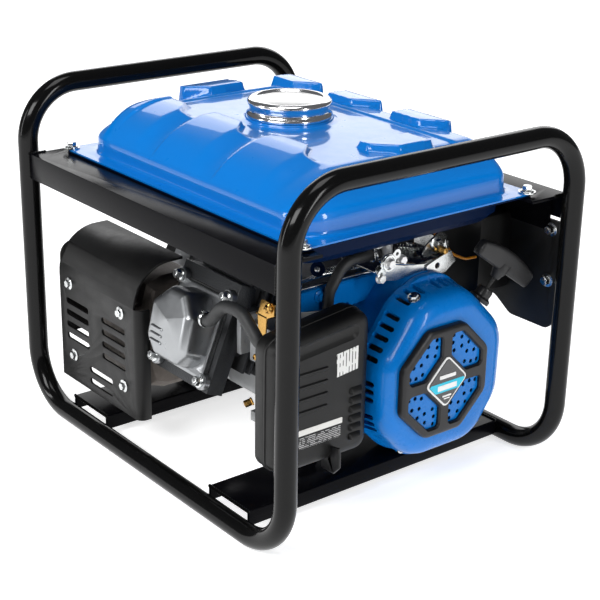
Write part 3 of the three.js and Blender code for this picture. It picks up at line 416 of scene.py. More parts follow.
BADGE_BLACK = Finish(
    "badge_black", "black_plastic", (0.006, 0.006, 0.007), 0.25, coat=0.6, grain=Grain.GLASSY,
)
BADGE_WHITE = Finish("badge_white", "white_plastic", (0.75, 0.75, 0.74), 0.3, grain=Grain.GLASSY, mottle=0.03)
BADGE_CYAN = Finish("badge_cyan", "blue_paint", (0.0, 0.5, 0.68), 0.3, grain=Grain.GLASSY, mottle=0.03)
LABEL = PrintFinish(
    "label_print", "white_plastic", (0.74, 0.74, 0.72), 0.4, stripes=260.0, axis=1, share=0.25,
)
FINE_PRINT = PrintFinish(
    "fine_print", "black_plastic", (0.015, 0.015, 0.016), 0.45, ink=(0.5, 0.5, 0.5), stripes=520.0, axis=2,
    share=0.35,
)
WIRE_ORANGE = Finish("orange_wire", "red_plastic", (0.75, 0.27, 0.01), 0.35, grain=Grain.GLASSY)


class Paintbox:
    """Builds each finish's material once."""

    def __init__(self) -> None:
        """Starts with no materials."""
        self._made: dict[str, bpy.types.Material] = {}

    def material(self, finish: Finish) -> bpy.types.Material:
        """The material of a finish."""
        if finish.name not in self._made:
            self._made[finish.name] = finish.build()
        return self._made[finish.name]


PAINTS = Paintbox()


# ---------------------------------------------------------------- mesh making, in millimetres


def vec(point: Sequence[float]) -> Vector:
    """A vector from a plain point."""
    return Vector(point)


def arc_corners(points: Sequence[Point2], radius: float, steps: int = 6) -> list[Point2]:
    """Rounds the corners of a closed outline.

    Args:
        points: the outline's corners in order.
        radius: fillet radius, limited by the sides.
        steps: segments in each fillet.

    Returns:
        The rounded outline; every corner gives steps + 1 points.
    """
    result: list[Point2] = []
    count = len(points)
    for index in range(count):
        before, here, after = (Vector(points[(index + k) % count]) for k in (-1, 0, 1))
        into, out = (here - before), (after - here)
        turn = into.angle_signed(out)
        half = abs(turn) / 2
        reach = min(radius * math.tan(half), 0.48 * into.length, 0.48 * out.length)
        if half < 1e-3 or reach < 1e-6:
            result.extend([tuple(here)] * (steps + 1))
            continue
        bend = reach / math.tan(half)
        start = here - into.normalized() * reach
        side = Vector((into.y, -into.x)).normalized() * (1 if turn > 0 else -1)
        centre = start + side * bend
        spoke = start - centre
        for k in range(steps + 1):
            angle = -turn * k / steps
            cos, sin = math.cos(angle), math.sin(angle)
            result.append(
                (centre.x + spoke.x * cos - spoke.y * sin, centre.y + spoke.x * sin + spoke.y * cos)
            )
    return result


def rectangle(
    a0: float, a1: float, b0: float, b1: float, radius: float = 0.0, steps: int = 6,
) -> list[Point2]:
    """Rounded rectangle outline, anticlockwise."""
    return arc_corners([(a0, b0), (a1, b0), (a1, b1), (a0, b1)], radius, steps)


def circle(radius: float, count: int = 32, centre: Point2 = (0.0, 0.0)) -> list[Point2]:
    """Circle outline, anticlockwise."""
    turns = (2 * math.pi * k / count for k in range(count))
    return [(centre[0] + radius * math.cos(t), centre[1] + radius * math.sin(t)) for t in turns]


def inset(points: Sequence[Point2], amount: float) -> list[Point2]:
    """Moves an outline's points inward along their normals."""
    result = []
    count = len(points)
    for index in range(count):
        before, here, after = (Vector(points[(index + k) % count]) for k in (-1, 0, 1))
        along = (here - before).normalized() + (after - here).normalized()
        if along.length < 1e-9:
            along = after - before
        along.normalize()
        normal = Vector((-along.y, along.x))
        result.append(tuple(here + normal * amount))
    return result


class Axis(Enum):
    """Which way an outline is pushed; the outline's two axes follow in cyclic order."""

    X = 0
    Y = 1
    Z = 2

    def place(self, point: Point2, along: float) -> Vector:
        """A point of the outline at a place along the axis."""
        result = [0.0, 0.0, 0.0]
        result[self.value] = along
        result[(self.value + 1) % 3] = point[0]
        result[(self.value + 2) % 3] = point[1]
        return Vector(result)


class Shape:
    """Vertices and faces in millimetres, before they become an object."""

    def __init__(self) -> None:
        """Starts empty."""
        self.verts: list[Vector] = []
        self.faces: list[list[int]] = []

    def rings(self, rings: Sequence[Sequence[Vector]], caps: bool = True, loop: bool = False) -> "Shape":
        """Adds a skin over closed rings of equal count.

        Args:
            rings: the rings in order.
            caps: closes the first and last ring.
            loop: joins the last ring to the first instead.

        Returns:
            This shape.
        """
        base, count = len(self.verts), len(rings[0])
        for ring in rings:
            self.verts.extend(ring)
        pairs = len(rings) if loop else len(rings) - 1
        for row in range(pairs):
            low, high = base + row * count, base + ((row + 1) % len(rings)) * count
            for k in range(count):
                nxt = (k + 1) % count
                self.faces.append([low + k, low + nxt, high + nxt, high + k])
        if caps and not loop:
            self.faces.append([base + k for k in reversed(range(count))])
            last = base + (len(rings) - 1) * count
            self.faces.append([last + k for k in range(count)])
        return self

    def prism(self, axis: Axis, outline: Sequence[Point2], low: float, high: float) -> "Shape":
        """Adds a straight prism."""
        return self.rings([[axis.place(p, t) for p in outline] for t in (low, high)])

    def stack(self, axis: Axis, layers: Sequence[tuple[Sequence[Point2], float]]) -> "Shape":
        """Adds a skin over outlines at places along an axis."""
        return self.rings([[axis.place(p, t) for p in outline] for outline, t in layers])

    def turned(
        self, axis: Axis, profile: Sequence[Point2], centre: Point2 = (0.0, 0.0), count: int = 48
    ) -> "Shape":
        """Adds a turned shape from (radius, along) points, low to high."""
        spots = [(max(radius, 0.01), along) for radius, along in profile]
        return self.stack(axis, [(circle(radius, count, centre), along) for radius, along in spots])

    def ring_turned(
        self, axis: Axis, profile: Sequence[Point2], centre: Point2 = (0.0, 0.0), count: int = 48
    ) -> "Shape":
        """Adds a turned ring whose profile closes on itself."""
        layers = [[axis.place(p, along) for p in circle(radius, count, centre)] for radius, along in profile]
        return self.rings(layers, loop=True)

    def sweep(self, route: Sequence[Vector], section: Sequence[Point2]) -> "Shape":
        """Adds a section carried along a route without twist.

        Args:
            route: the points of the centre line.
            section: closed outline across the route.

        Returns:
            This shape.
        """
        tangents = []
        for index in range(len(route)):
            before, after = route[max(index - 1, 0)], route[min(index + 1, len(route) - 1)]
            tangents.append((after - before).normalized())
        least = min(range(3), key=lambda k: abs(tangents[0][k]))
        guide = Vector([1.0 if k == least else 0.0 for k in range(3)])
        normal = (guide - tangents[0] * guide.dot(tangents[0])).normalized()
        layers = []
        for index, tangent in enumerate(tangents):
            if index:
                normal = tangents[index - 1].rotation_difference(tangent) @ normal
            side = tangent.cross(normal)
            layers.append([route[index] + normal * a + side * b for a, b in section])
        return self.rings(layers)

    def box(self, low: Point3, high: Point3) -> "Shape":
        """Adds a plain box."""
        outline = [(low[0], low[1]), (high[0], low[1]), (high[0], high[1]), (low[0], high[1])]
        return self.prism(Axis.Z, outline, low[2], high[2])

    def add(self, other: "Shape") -> "Shape":
        """Adds all of another shape."""
        base = len(self.verts)
        self.verts += other.verts
        self.faces += [[base + index for index in face] for face in other.faces]
        return self

    def moved(self, matrix: Matrix) -> "Shape":
        """Moves everything made so far."""
        self.verts = [matrix @ v for v in self.verts]
        return self

    def to_object(self, name: str) -> bpy.types.Object:
        """Makes the object, in metres, with outward faces.

        Args:
            name: the object's name.

        Returns:
            The linked object.
        """
        mesh = bpy.data.meshes.new(name)
        mesh.from_pydata([v * MM for v in self.verts], [], self.faces)
        tidy = bmesh.new()
        tidy.from_mesh(mesh)
        bmesh.ops.remove_doubles(tidy, verts=tidy.verts, dist=1e-6)
        bmesh.ops.recalc_face_normals(tidy, faces=tidy.faces)
        tidy.to_mesh(mesh)
        tidy.free()
        made = bpy.data.objects.new(name, mesh)
        bpy.context.scene.collection.objects.link(made)
        return made


def route(corners: Sequence[Point3], bend: float, steps: int = 10) -> list[Vector]:
    """Centre line through corners with round bends.

    Args:
        corners: the corner points.
        bend: bend radius, limited by the legs.
        steps: segments in each bend.

    Returns:
        The points of the line.
    """
    points = [vec(c) for c in corners]
    line = [points[0]]
    for before, here, after in zip(points, points[1:], points[2:]):
        into, out = (here - before).normalized(), (after - here).normalized()
        turn = into.angle(out)
        if turn < 1e-3:
            line.append(here)
            continue
        room = 0.48 * min((here - before).length, (after - here).length)
        radius = min(bend, room / math.tan(turn / 2))
        start = here - into * radius * math.tan(turn / 2)
        inward = (out - into * out.dot(into)).normalized()
        for k in range(steps + 1):
            angle = turn * k / steps
            line.append(start + into * radius * math.sin(angle) + inward * radius * (1 - math.cos(angle)))
    line.append(points[-1])
    return line


def baked(item: bpy.types.Object) -> bpy.types.Object:
    """Applies an object's modifiers to its mesh."""
    graph = bpy.context.evaluated_depsgraph_get()
    mesh = bpy.data.meshes.new_from_object(item.evaluated_get(graph))
    item.modifiers.clear()
    item.data = mesh
    return item


def bevelled(
    item: bpy.types.Object, width: float, segments: int = 3, angle: float = 30.0,
) -> bpy.types.Object:
    """Rounds the edges sharper than an angle, by a width in millimetres."""
    bevel = item.modifiers.new("round", "BEVEL")
    bevel.width = width * MM
    bevel.segments = segments
    bevel.limit_method = "ANGLE"
    bevel.angle_limit = math.radians(angle)
    bevel.use_clamp_overlap = True
    bevel.harden_normals = False
    return baked(item)


def smooth(item: bpy.types.Object, angle: float = 40.0) -> bpy.types.Object:
    """Smooth shading below an angle."""
    item.data.shade_smooth()
    item.data.set_sharp_from_angle(angle=math.radians(angle))
    return item


def carved(
    item: bpy.types.Object, cutter: bpy.types.Object, operation: str = "DIFFERENCE",
) -> bpy.types.Object:
    """Cuts or joins one object with another, and removes the other."""
    cut = item.modifiers.new("cut", "BOOLEAN")
    cut.operation = operation
    cut.solver = "EXACT"
    cut.use_self = True
    cut.object = cutter
    baked(item)
    bpy.data.objects.remove(cutter)
    return item


def dress(
    item: bpy.types.Object, finish: Finish, body: str = "root", stands_for: Sequence[str] = (),
    angle: float = 40.0
) -> bpy.types.Object:
    """Gives a piece its finish and its body.

    Args:
        item: the piece.
        finish: its finish.
        body: the body that it moves with.
        stands_for: the CAD nodes that it replaces.
        angle: edges below it are shaded smooth.

    Returns:
        The piece.
    """
    item.data.materials.clear()
    item.data.materials.append(PAINTS.material(finish))
    smooth(item, angle)
    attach(item, body)
    if stands_for:
        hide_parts(*stands_for)
    LOG.info("piece %s on %s: %d faces", item.name, body, len(item.data.polygons))
    return item


def refined(
    node: str, finish: Finish, width: float = 1.0, segments: int = 2, angle: float = 32.0
) -> bpy.types.Object:
    """Copies a CAD node, merges its flats and rounds its edges; the copy moves with the node's own body.

    Args:
        node: the CAD node to stand for.
        finish: the copy's finish.
        width: edge radius in millimetres.
        segments: segments in each rounded edge.
        angle: edges sharper than this are rounded.

    Returns:
        The finished copy.
    """
    source = frame["nodes"][node]
    mesh = source.data.copy()
    work = bmesh.new()
    work.from_mesh(mesh)
    bmesh.ops.remove_doubles(work, verts=work.verts, dist=2e-6)
    bmesh.ops.dissolve_limit(work, angle_limit=math.radians(1.0), verts=work.verts, edges=work.edges)
    work.to_mesh(mesh)
    work.free()
    copy = bpy.data.objects.new(node + "_fine", mesh)
    bpy.context.scene.collection.objects.link(copy)
    if width > 0:
        bevelled(copy, width, segments, angle)
    return dress(copy, finish, source["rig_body"], [node], angle)


# ---------------------------------------------------------------- repeats by geometry nodes


class Repeater:
    """A geometry-nodes tree that puts a piece on every vertex of a cloud of points."""

    seed = 7

    def __init__(self) -> None:
        """Builds the tree once; its inputs are the piece, its turn, its spin and its material."""
        self.tree = bpy.data.node_groups.new("piece_on_points", "GeometryNodeTree")
        face = self.tree.interface
        face.new_socket("Geometry", in_out="INPUT", socket_type="NodeSocketGeometry")
        self.ids = {
            name: face.new_socket(name, in_out="INPUT", socket_type=kind).identifier
            for name, kind in {
                "Piece": "NodeSocketObject",
                "Turn": "NodeSocketRotation",
                "Spin": "NodeSocketFloat",
                "Seed": "NodeSocketInt",
                "Finish": "NodeSocketMaterial",
            }.items()
        }
        face.new_socket("Geometry", in_out="OUTPUT", socket_type="NodeSocketGeometry")
        entry = self._add("NodeGroupInput")
        leave = self._add("NodeGroupOutput")
        info = self._add("GeometryNodeObjectInfo")
        spin = self._add("FunctionNodeRandomValue")
        spin.data_type = "FLOAT"
        about = self._add("FunctionNodeAxisAngleToRotation")
        about.inputs["Axis"].default_value = (0, 0, 1)
        turn = self._add("FunctionNodeRotateRotation")
        place = self._add("GeometryNodeInstanceOnPoints")
        real = self._add("GeometryNodeRealizeInstances")
        paint = self._add("GeometryNodeSetMaterial")
        spin_inputs = [s for s in spin.inputs if s.name in ("Min", "Max") and s.type == "VALUE"]
        spin_inputs[0].default_value = 0.0
        spin_out = next(s for s in spin.outputs if s.type == "VALUE")
        for source, target in (
            (entry.outputs["Piece"], info.inputs["Object"]),
            (entry.outputs["Spin"], spin_inputs[1]),
            (entry.outputs["Seed"], spin.inputs["Seed"]),
            (spin_out, about.inputs["Angle"]),
            (about.outputs[0], turn.inputs[0]),
            (entry.outputs["Turn"], turn.inputs[1]),
            (entry.outputs["Geometry"], place.inputs["Points"]),
            (info.outputs["Geometry"], place.inputs["Instance"]),
            (turn.outputs[0], place.inputs["Rotation"]),
            (place.outputs["Instances"], real.inputs["Geometry"]),
            (real.outputs["Geometry"], paint.inputs["Geometry"]),
            (entry.outputs["Finish"], paint.inputs["Material"]),
            (paint.outputs["Geometry"], leave.inputs["Geometry"]),
        ):
            self.tree.links.new(source, target)

    def _add(self, kind: str) -> bpy.types.Node:
        """Adds a node to the tree."""
        return self.tree.nodes.new(kind)

    def make(
        self,
        name: str,
        points: Sequence[Sequence[float]],
        piece: bpy.types.Object,
        finish: Finish,
        towards: Sequence[float],
        spin: float = 0.0,
    ) -> bpy.types.Object:
        """Puts the piece on each point and makes one plain mesh.

        Args:
            name: the result's name.
            points: places in millimetres.
            piece: the piece, drawn at the origin along +Z; it is removed afterwards.
            finish: the material that the tree sets.
            towards: where the piece's +Z points.
            spin: most that a copy turns about its own axis, in radians.

        Returns:
            The plain mesh object.
        """
        mesh = bpy.data.meshes.new(name)
        mesh.from_pydata([vec(p) * MM for p in points], [], [])
        host = bpy.data.objects.new(name, mesh)
        bpy.context.scene.collection.objects.link(host)
        modifier = host.modifiers.new("repeat", "NODES")
        modifier.node_group = self.tree
        modifier[self.ids["Piece"]] = piece
        turn = Vector((0, 0, 1)).rotation_difference(vec(towards).normalized())
        modifier[self.ids["Turn"]] = turn.to_euler()
        modifier[self.ids["Spin"]] = spin
        modifier[self.ids["Seed"]] = self.seed
        modifier[self.ids["Finish"]] = PAINTS.material(finish)
        baked(host)
        bpy.data.objects.remove(piece)
        return host


REPEAT = Repeater()


def hex_bolt(across: float = 10.0, height: float = 6.0, flange: float = 7.5) -> bpy.types.Object:
    """Flanged hexagon bolt head at the origin, pointing up.

    Args:
        across: distance over the flats.
        height: height of the head over the flange.
        flange: radius of the flange.

    Returns:
        The bolt.
    """
    hexagon = circle(across / math.sqrt(3), 6)
    chamfer = [(x * 0.86, y * 0.86) for x, y in hexagon]
    bolt = Shape()
    bolt.turned(Axis.Z, [(flange, 0), (flange, 1.2), (across * 0.52, 2.2), (across * 0.45, 2.3)], count=20)
    bolt.stack(Axis.Z, [(hexagon, 1.0), (hexagon, height - 0.9), (chamfer, height)])
    bolt.turned(
        Axis.Z,
        [(across * 0.3, height - 0.2), (across * 0.3, height + 0.15), (across * 0.24, height + 0.25)],
        count=12,
    )
    return bolt.to_object("bolt_head")


def pan_screw(radius: float = 5.0, height: float = 3.0) -> bpy.types.Object:
    """Domed screw head with a cross recess, at the origin, pointing up."""
    curve = [
        (radius, 0), (radius * 0.97, height * 0.4), (radius * 0.8, height * 0.8), (radius * 0.45, height),
        (0, height),
    ]
    screw = Shape().turned(Axis.Z, curve, count=20).to_object("screw_head")
    arm, wide = radius * 0.5, radius * 0.13
    cross = Shape().box((-arm, -wide, height * 0.5), (arm, wide, height * 1.5))
    cross.box((-wide, -arm, height * 0.45), (wide, arm, height * 1.5))
    return carved(screw, cross.to_object("recess"))


def bead(radius: float = 2.2) -> bpy.types.Object:
    """Squashed weld bead at the origin."""
    profile = [(0, -0.5), (0.8, -0.4), (1.0, 0), (0.8, 0.4), (0, 0.5)]
    return Shape().turned(Axis.Z, [(r * radius, z * radius) for r, z in profile], count=10).to_object("bead")


def washer(outer: float, inner: float, thick: float) -> bpy.types.Object:
    """Flat washer at the origin."""
    profile = [(inner, 0), (outer, 0), (outer, thick), (inner, thick)]
    return Shape().ring_turned(Axis.Z, profile, count=28).to_object("washer")


def line_points(start: Point3, end: Point3, count: int) -> list[Vector]:
    """Evenly spaced points from start to end."""
    return [vec(start).lerp(vec(end), k / (count - 1)) for k in range(count)]


def fasten(
    name: str,
    points: Sequence[Sequence[float]],
    piece: bpy.types.Object,
    finish: Finish,
    towards: Sequence[float],
    spin: float = 1.0,
) -> bpy.types.Object:
    """Repeats a fastener on points of the fixed body and dresses the result."""
    return dress(REPEAT.make(name, points, piece, finish, towards, spin), finish, angle=35)


def recoat(node: str, finish: Finish) -> None:
    """Gives a CAD node that stays a finish."""
    for place in frame["nodes"][node].material_slots:
        place.material = PAINTS.material(finish)


# ---------------------------------------------------------------- sub-assemblies


@dataclass
class TubeFrame:
    """Two bent tube hoops, the folded rails between them and the cross channels under the engine."""

    half_length: float = 232.0
    joint_gap: float = 0.15
    half_width: float = 182.5
    tube: float = 11.0
    top: float = 371.0
    bend: float = 60.0
    rail_end: float = 220.7
    rail_face: float = 187.5
    rail_low: float = 273.0
    rail_top: float = 301.0
    channels: tuple[Point2, ...] = ((92.0, 160.0), (-174.0, -104.0))
    channel_end: float = 170.6
    channel_top: float = 24.6

    def build(self) -> None:
        """Builds the hoops, rails, channels and welds."""
        for end, sign in (("starter_end", 1), ("alternator_end", -1)):
            x, y, low = sign * self.half_length, self.half_width, self.tube
            joint = sign * self.joint_gap
            corners = [
                (joint, -y, low), (x, -y, low), (x, -y, self.top), (x, y, self.top), (x, y, low),
                (joint, y, low),
            ]
            hoop = Shape().sweep(route(corners, self.bend, 20), circle(self.tube, 36))
            dress(hoop.to_object(f"{end}_tube"), TUBE_BLACK, stands_for=[f"{end}_hoop"])
        for rail in ("valve_side_rail", "panel_side_rail", "rear_tank_crossbar"):
            refined(rail, RAIL_BLACK, width=1.6, segments=3)
        for channel in ("starter_cross_channel", "alternator_cross_channel"):
            refined(channel, RAIL_BLACK, width=1.8, segments=3)
        for mount in ("starter_rubber_mount", "alternator_rubber_mount"):
            for number in (1, 2):
                refined(f"{mount}_{number}", RUBBER, width=1.2, segments=2)
        self._welds()

    def _welds(self) -> None:
        """Weld beads where rails and channels meet the tubes."""
        spots: list[Vector] = []
        for sx in (-1, 1):
            for sy in (-1, 1):
                x, y, z = sx * (self.rail_end - 0.6), sy * (self.rail_face - 0.4), self.rail_top - 0.6
                spots += line_points((x, y, self.rail_low + 2), (x, y, self.rail_top - 1), 9)
                spots += line_points((x, sy * (self.rail_face - 3), z), (x, sy * (self.rail_face - 18), z), 6)
        fasten("rail_welds", spots, bead(2.3), TUBE_BLACK, (1, 0, 0), spin=3.0)
        ends: list[Vector] = []
        for low, high in self.channels:
            for sy in (-1, 1):
                y, z = sy * self.channel_end, self.channel_top
                ends += line_points((low + 2, y, z), (high - 2, y, z), 20)
        fasten("channel_welds", ends, bead(2.3), TUBE_BLACK, (0, 1, 0), spin=3.0)


@dataclass
class FuelTank:
    """Pressed steel tank: domed upper half with raised pads, lip, lower half, neck and cap."""

    lip: Point2 = (208.0, 150.0)
    body: Point2 = (192.0, 134.0)
    lip_top: float = 304.8
    sheet: float = 1.6
    rise: float = 48.0
    neck: Point2 = (-15.0, 10.0)
    neck_radius: float = 40.0
    shoulders: tuple[float, float, float, float] = (50.0, 46.0, 68.0, 24.0)
    bulge: float = 1.45
    wall: float = 17.0
    corner: float = 3.2
    pad_rise: float = 6.0
    pads: tuple[Point2, ...] = ((-161.0, -101.0), (-61.0, 1.0), (44.0, 109.0))
    far_row: Point2 = (98.0, 122.0)
    lone_pads: tuple[Box2, ...] = ((-182.0, -152.0, -16.0, 50.0), (114.0, 150.0, -4.0, 58.0))
    pad_slope: float = 2.5
    crown: float = 2.5
    flute_lift: float = 6.5
    flute_top: float = -50.0
    flute_fall: float = 30.0
    basin_lift: float = 2.2
    ways: int = 520
    rows: int = 84

    def build(self) -> None:
        """Builds the tank and its cap."""
        dress(self._skin(), TANK_BLUE, stands_for=["tank_upper_shell"], angle=60)
        # The lower shell gets near-black blue as painted shade for the shadow under the lip.
        refined("tank_lower_shell", SHADED_UNDER_BLUE, width=3.0, segments=3)
        self._cap()
        bolts = [(sx * 203, sy * 145, self.lip_top + 1.2) for sx in (-1, 1) for sy in (-1, 1)]
        fasten("tank_bolts", bolts, hex_bolt(9.0, 6.0, 7.0), ZINC, (0, 0, 1))
        rings = [(x, y, z - 1.2) for x, y, z in bolts]
        fasten("tank_washers", rings, washer(9.0, 3.4, 1.3), ZINC, (0, 0, 1))

    def _round(self, x: float, y: float) -> float:
        """How far a place is into the shoulders: 0 on the flat top, 1 at the foot."""
        west, east, south, north = self.shoulders
        a = (x - (self.body[0] - east)) / east if x > 0 else (-x - (self.body[0] - west)) / west
        b = (y - (self.body[1] - north)) / north if y > 0 else (-y - (self.body[1] - south)) / south
        a, b = max(a, 0.0), max(b, 0.0)
        return (a**self.corner + b**self.corner) ** (1 / self.corner)

    def _height(self, x: float, y: float) -> float:
        """Height of the dome over the lip, without its pads."""
        r = min(self._round(x, y), 1.0)
        crown = self.crown * (1 - (x / self.body[0]) ** 2) * (1 - (y / self.body[1]) ** 2)
        return self.wall + (self.rise - self.wall + max(crown, 0.0)) * (1 - r**self.bulge) ** (1 / self.bulge)

    @staticmethod
    def _step(value: float, low: float, high: float) -> float:
        """Smooth step from 0 to 1."""
        t = min(max((value - low) / (high - low), 0.0), 1.0)
        return t * t * (3 - 2 * t)

    def _window(self, value: float, low: float, high: float, slope: float, fall: float = 0.0) -> float:
        """1 between low and high, with a slope before and a fall after (the slope again where it is 0)."""
        return self._step(value, low - slope, low) * (1 - self._step(value, high, high + (fall or slope)))

    def _pad(self, x: float, y: float, box: Box2, cut: float) -> float:
        """A raised pad with one corner cut off, 0 to 1, over (x low, x high, y low, y high)."""
        low, high, near, far = box
        flat = self._window(x, low, high, self.pad_slope) * self._window(y, near, far, self.pad_slope)
        return flat * (1 - self._step((x - high) - (y - near) + cut, -3.0, 3.0))

    def _pads(self, x: float, y: float) -> float:
        """Height of the raised pads at a place, 0 to 1."""
        rows = [(low + 4, high + 2, *self.far_row) for low, high in self.pads]
        return max(self._pad(x, y, box, 20.0) for box in (*rows, *self.lone_pads))

    def _flutes(self, x: float, y: float) -> float:
        """Height of the flutes down the long near side: a crease, a flat and a soft fall."""
        if y > -20:
            return 0.0
        top = self.flute_top
        return max(
            self._window(x, low, high, 2.0, self.flute_fall) * self._step(-y, -top - 3, -top + 3)
            * (1 - self._step((x - high) + (y - top) + 16, -3.0, 3.0) * self._step(y, -74, -66))
            for low, high in self.pads
        )

    def _basin(self, x: float, y: float) -> float:
        """Small rise round the shallow basin that the neck stands in, 0 to 1."""
        return max(self._step(y, 86.0, 90.0), self._step(-x, 140.0, 144.0))

    def _surface(self, x: float, y: float) -> Vector:
        """A point of the finished skin: flat-topped pads, and flutes and basin raised along the slope."""
        z = self._height(x, y)
        d = 0.4
        fall_x = self._height(x - d, y) - self._height(x + d, y)
        fall_y = self._height(x, y - d) - self._height(x, y + d)
        slope = Vector((fall_x, fall_y, 2 * d)).normalized()
        lift = self.flute_lift * self._flutes(x, y) * self._step(z, self.wall, 44.0)
        lift += self.basin_lift * self._basin(x, y) * self._step(z, 30.0, 44.0)
        z += (self.rise + self.crown + self.pad_rise - z) * self._pads(x, y)
        return Vector((x, y, self.lip_top + z)) + slope * lift

    def _edge(self, direction: Vector) -> float:
        """Distance from the neck to the foot of the dome in a direction."""
        low, high = 60.0, 320.0
        for _ in range(40):
            middle = (low + high) / 2
            x, y = self.neck[0] + direction.x * middle, self.neck[1] + direction.y * middle
            low, high = (middle, high) if self._round(x, y) < 1.0 else (low, middle)
        return low

    def _directions(self, count: int) -> list[Vector]:
        """Directions from the neck that cut the outline into equal lengths."""
        fine = [Vector((math.cos(t), math.sin(t))) for t in (2 * math.pi * k / 3600 for k in range(3600))]
        spots = [d * self._edge(d) for d in fine]
        lengths = [0.0]
        for a, b in zip(spots, spots[1:] + spots[:1]):
            lengths.append(lengths[-1] + (b - a).length)
        result, index = [], 0
        for k in range(count):
            goal = lengths[-1] * k / count
            while lengths[index + 1] < goal:
                index += 1
            result.append(fine[index % 3600])
        return result

    def _skin(self) -> bpy.types.Object:
        """The upper half: neck steps, dome with pads, foot fillet and lip in one sheet."""
        ways = self._directions(self.ways)
        top = self.lip_top + self._height(*self.neck)
        r = self.neck_radius
        steps = [
            (31.0, top - 14), (31.0, 363.4), (31.5, 363.8), (r - 0.6, 363.8), (r, 363.3), (r, 361.4),
            (r + 0.4, 361.0),
            (r + 2.4, 360.9), (r + 3.0, 360.3), (r + 3.0, 358.8), (r + 3.4, 358.4), (r + 5.4, 358.3),
            (r + 6.0, 357.7),
            (r + 6.0, 356.6), (r + 6.6, 356.0), (r + 8.6, top + 0.3), (r + 10.5, top),
        ]
        nx, ny = self.neck
        rings = [[Vector((nx + w.x * radius, ny + w.y * radius, z)) for w in ways] for radius, z in steps]
        edges = [self._edge(w) for w in ways]
        start = r + 11.5
        for k in range(self.rows + 1):
            t = math.sin(math.pi / 2 * k / self.rows) * 0.45 + 0.55 * k / self.rows
            reaches = [start + (edge - start) * t for edge in edges]
            rings.append(
                [self._surface(nx + w.x * reach, ny + w.y * reach) for w, reach in zip(ways, reaches)]
            )
        foot = rings[-1]
        for grow, drop in ((0.3, 11.0), (0.6, 5.0), (0.9, 2.4), (1.4, 1.1), (2.3, 0.4), (3.6, 0.0)):
            rings.append([self._grown(p, w, grow, self.lip_top + drop) for p, w in zip(foot, ways)])
        outline = self._lip_ring(ways)
        for share in (0.5, 0.92):
            rings.append([a.lerp(b, share) for a, b in zip(rings[-1], outline)])
        rings.append(outline)
        shell = Shape().rings(rings, caps=False).to_object("tank_top_half")
        self._face_up(shell)
        wall = shell.modifiers.new("sheet", "SOLIDIFY")
        wall.thickness = self.sheet * MM
        wall.offset = -1.0
        return baked(shell)

    @staticmethod
    def _face_up(shell: bpy.types.Object) -> None:
        """Turns the open shell's faces so that its top looks up."""
        mesh = shell.data
        lift = sum(p.normal.z * p.area for p in mesh.polygons)
        if lift < 0:
            mesh.flip_normals()

    @staticmethod
    def _grown(point: Vector, way: Vector, grow: float, z: float) -> Vector:
        """The point moved outward, at a new height."""
        return Vector((point.x + way.x * grow, point.y + way.y * grow, z))

    def _lip_ring(self, ways: Sequence[Vector]) -> list[Vector]:
        """The lip's rounded rectangle, met by the directions from the neck."""
        half = Vector(self.lip)
        radius = 9.0
        ring = []
        for w in ways:
            low, high = 60.0, 340.0
            for _ in range(36):
                middle = (low + high) / 2
                x, y = self.neck[0] + w.x * middle, self.neck[1] + w.y * middle
                qx, qy = abs(x) - half.x + radius, abs(y) - half.y + radius
                gap = math.hypot(max(qx, 0), max(qy, 0)) + min(max(qx, qy), 0) - radius
                low, high = (middle, high) if gap < 0 else (low, middle)
            ring.append(Vector((self.neck[0] + w.x * low, self.neck[1] + w.y * low, self.lip_top)))
        return ring

    def _cap(self) -> None:
        """The chromed cap with its rolled lip and satin top."""
        profile = [
            (41.6, 359.2), (43.2, 358.6), (45.0, 359.0), (45.6, 360.4), (45.3, 362.0), (43.8, 363.2),
            (42.8, 365.0), (42.6, 368.0),
            (43.6, 371.0), (44.6, 373.4), (44.4, 375.4), (43.0, 377.2), (40.6, 378.2), (38.2, 378.3),
            (36.8, 377.6), (36.0, 376.2),
            (34.6, 375.6), (30.0, 375.0), (30.0, 368.0), (41.6, 368.0),
        ]
        chrome = Shape().ring_turned(Axis.Z, profile, self.neck, 96)
        dress(chrome.to_object("cap_chrome"), CHROME, "cap", ["fuel_cap"], angle=50)
        top = [
            (0.0, 369.0), (34.4, 369.0), (34.4, 375.2), (33.6, 375.9), (31.0, 376.3), (29.6, 375.7),
            (28.8, 375.7), (27.6, 376.3), (12.0, 377.0), (0.0, 377.1),
        ]
        dress(Shape().turned(Axis.Z, top, self.neck, 96).to_object("cap_top"), SATIN_CHROME, "cap", angle=50)


CRANK: Point2 = (33.0, 130.0)
BORE_X = 15.0
BORE_TILT = 22.0


def facing(towards: Vector, place: Vector) -> Matrix:
    """Matrix that turns +Z to a direction and moves the origin to a place."""
    matrix = Vector((0, 0, 1)).rotation_difference(towards).to_matrix().to_4x4()
    matrix.translation = place
    return matrix


def bore_matrix() -> Matrix:
    """Local (side, up, out) of the cylinder to millimetres of the set."""
    tilt = math.radians(BORE_TILT)
    side = Vector((1, 0, 0))
    up = Vector((0, math.sin(tilt), math.cos(tilt)))
    out = Vector((0, -math.cos(tilt), math.sin(tilt)))
    matrix = Matrix((side, up, out)).transposed().to_4x4()
    matrix.translation = Vector((BORE_X, *CRANK))
    return matrix


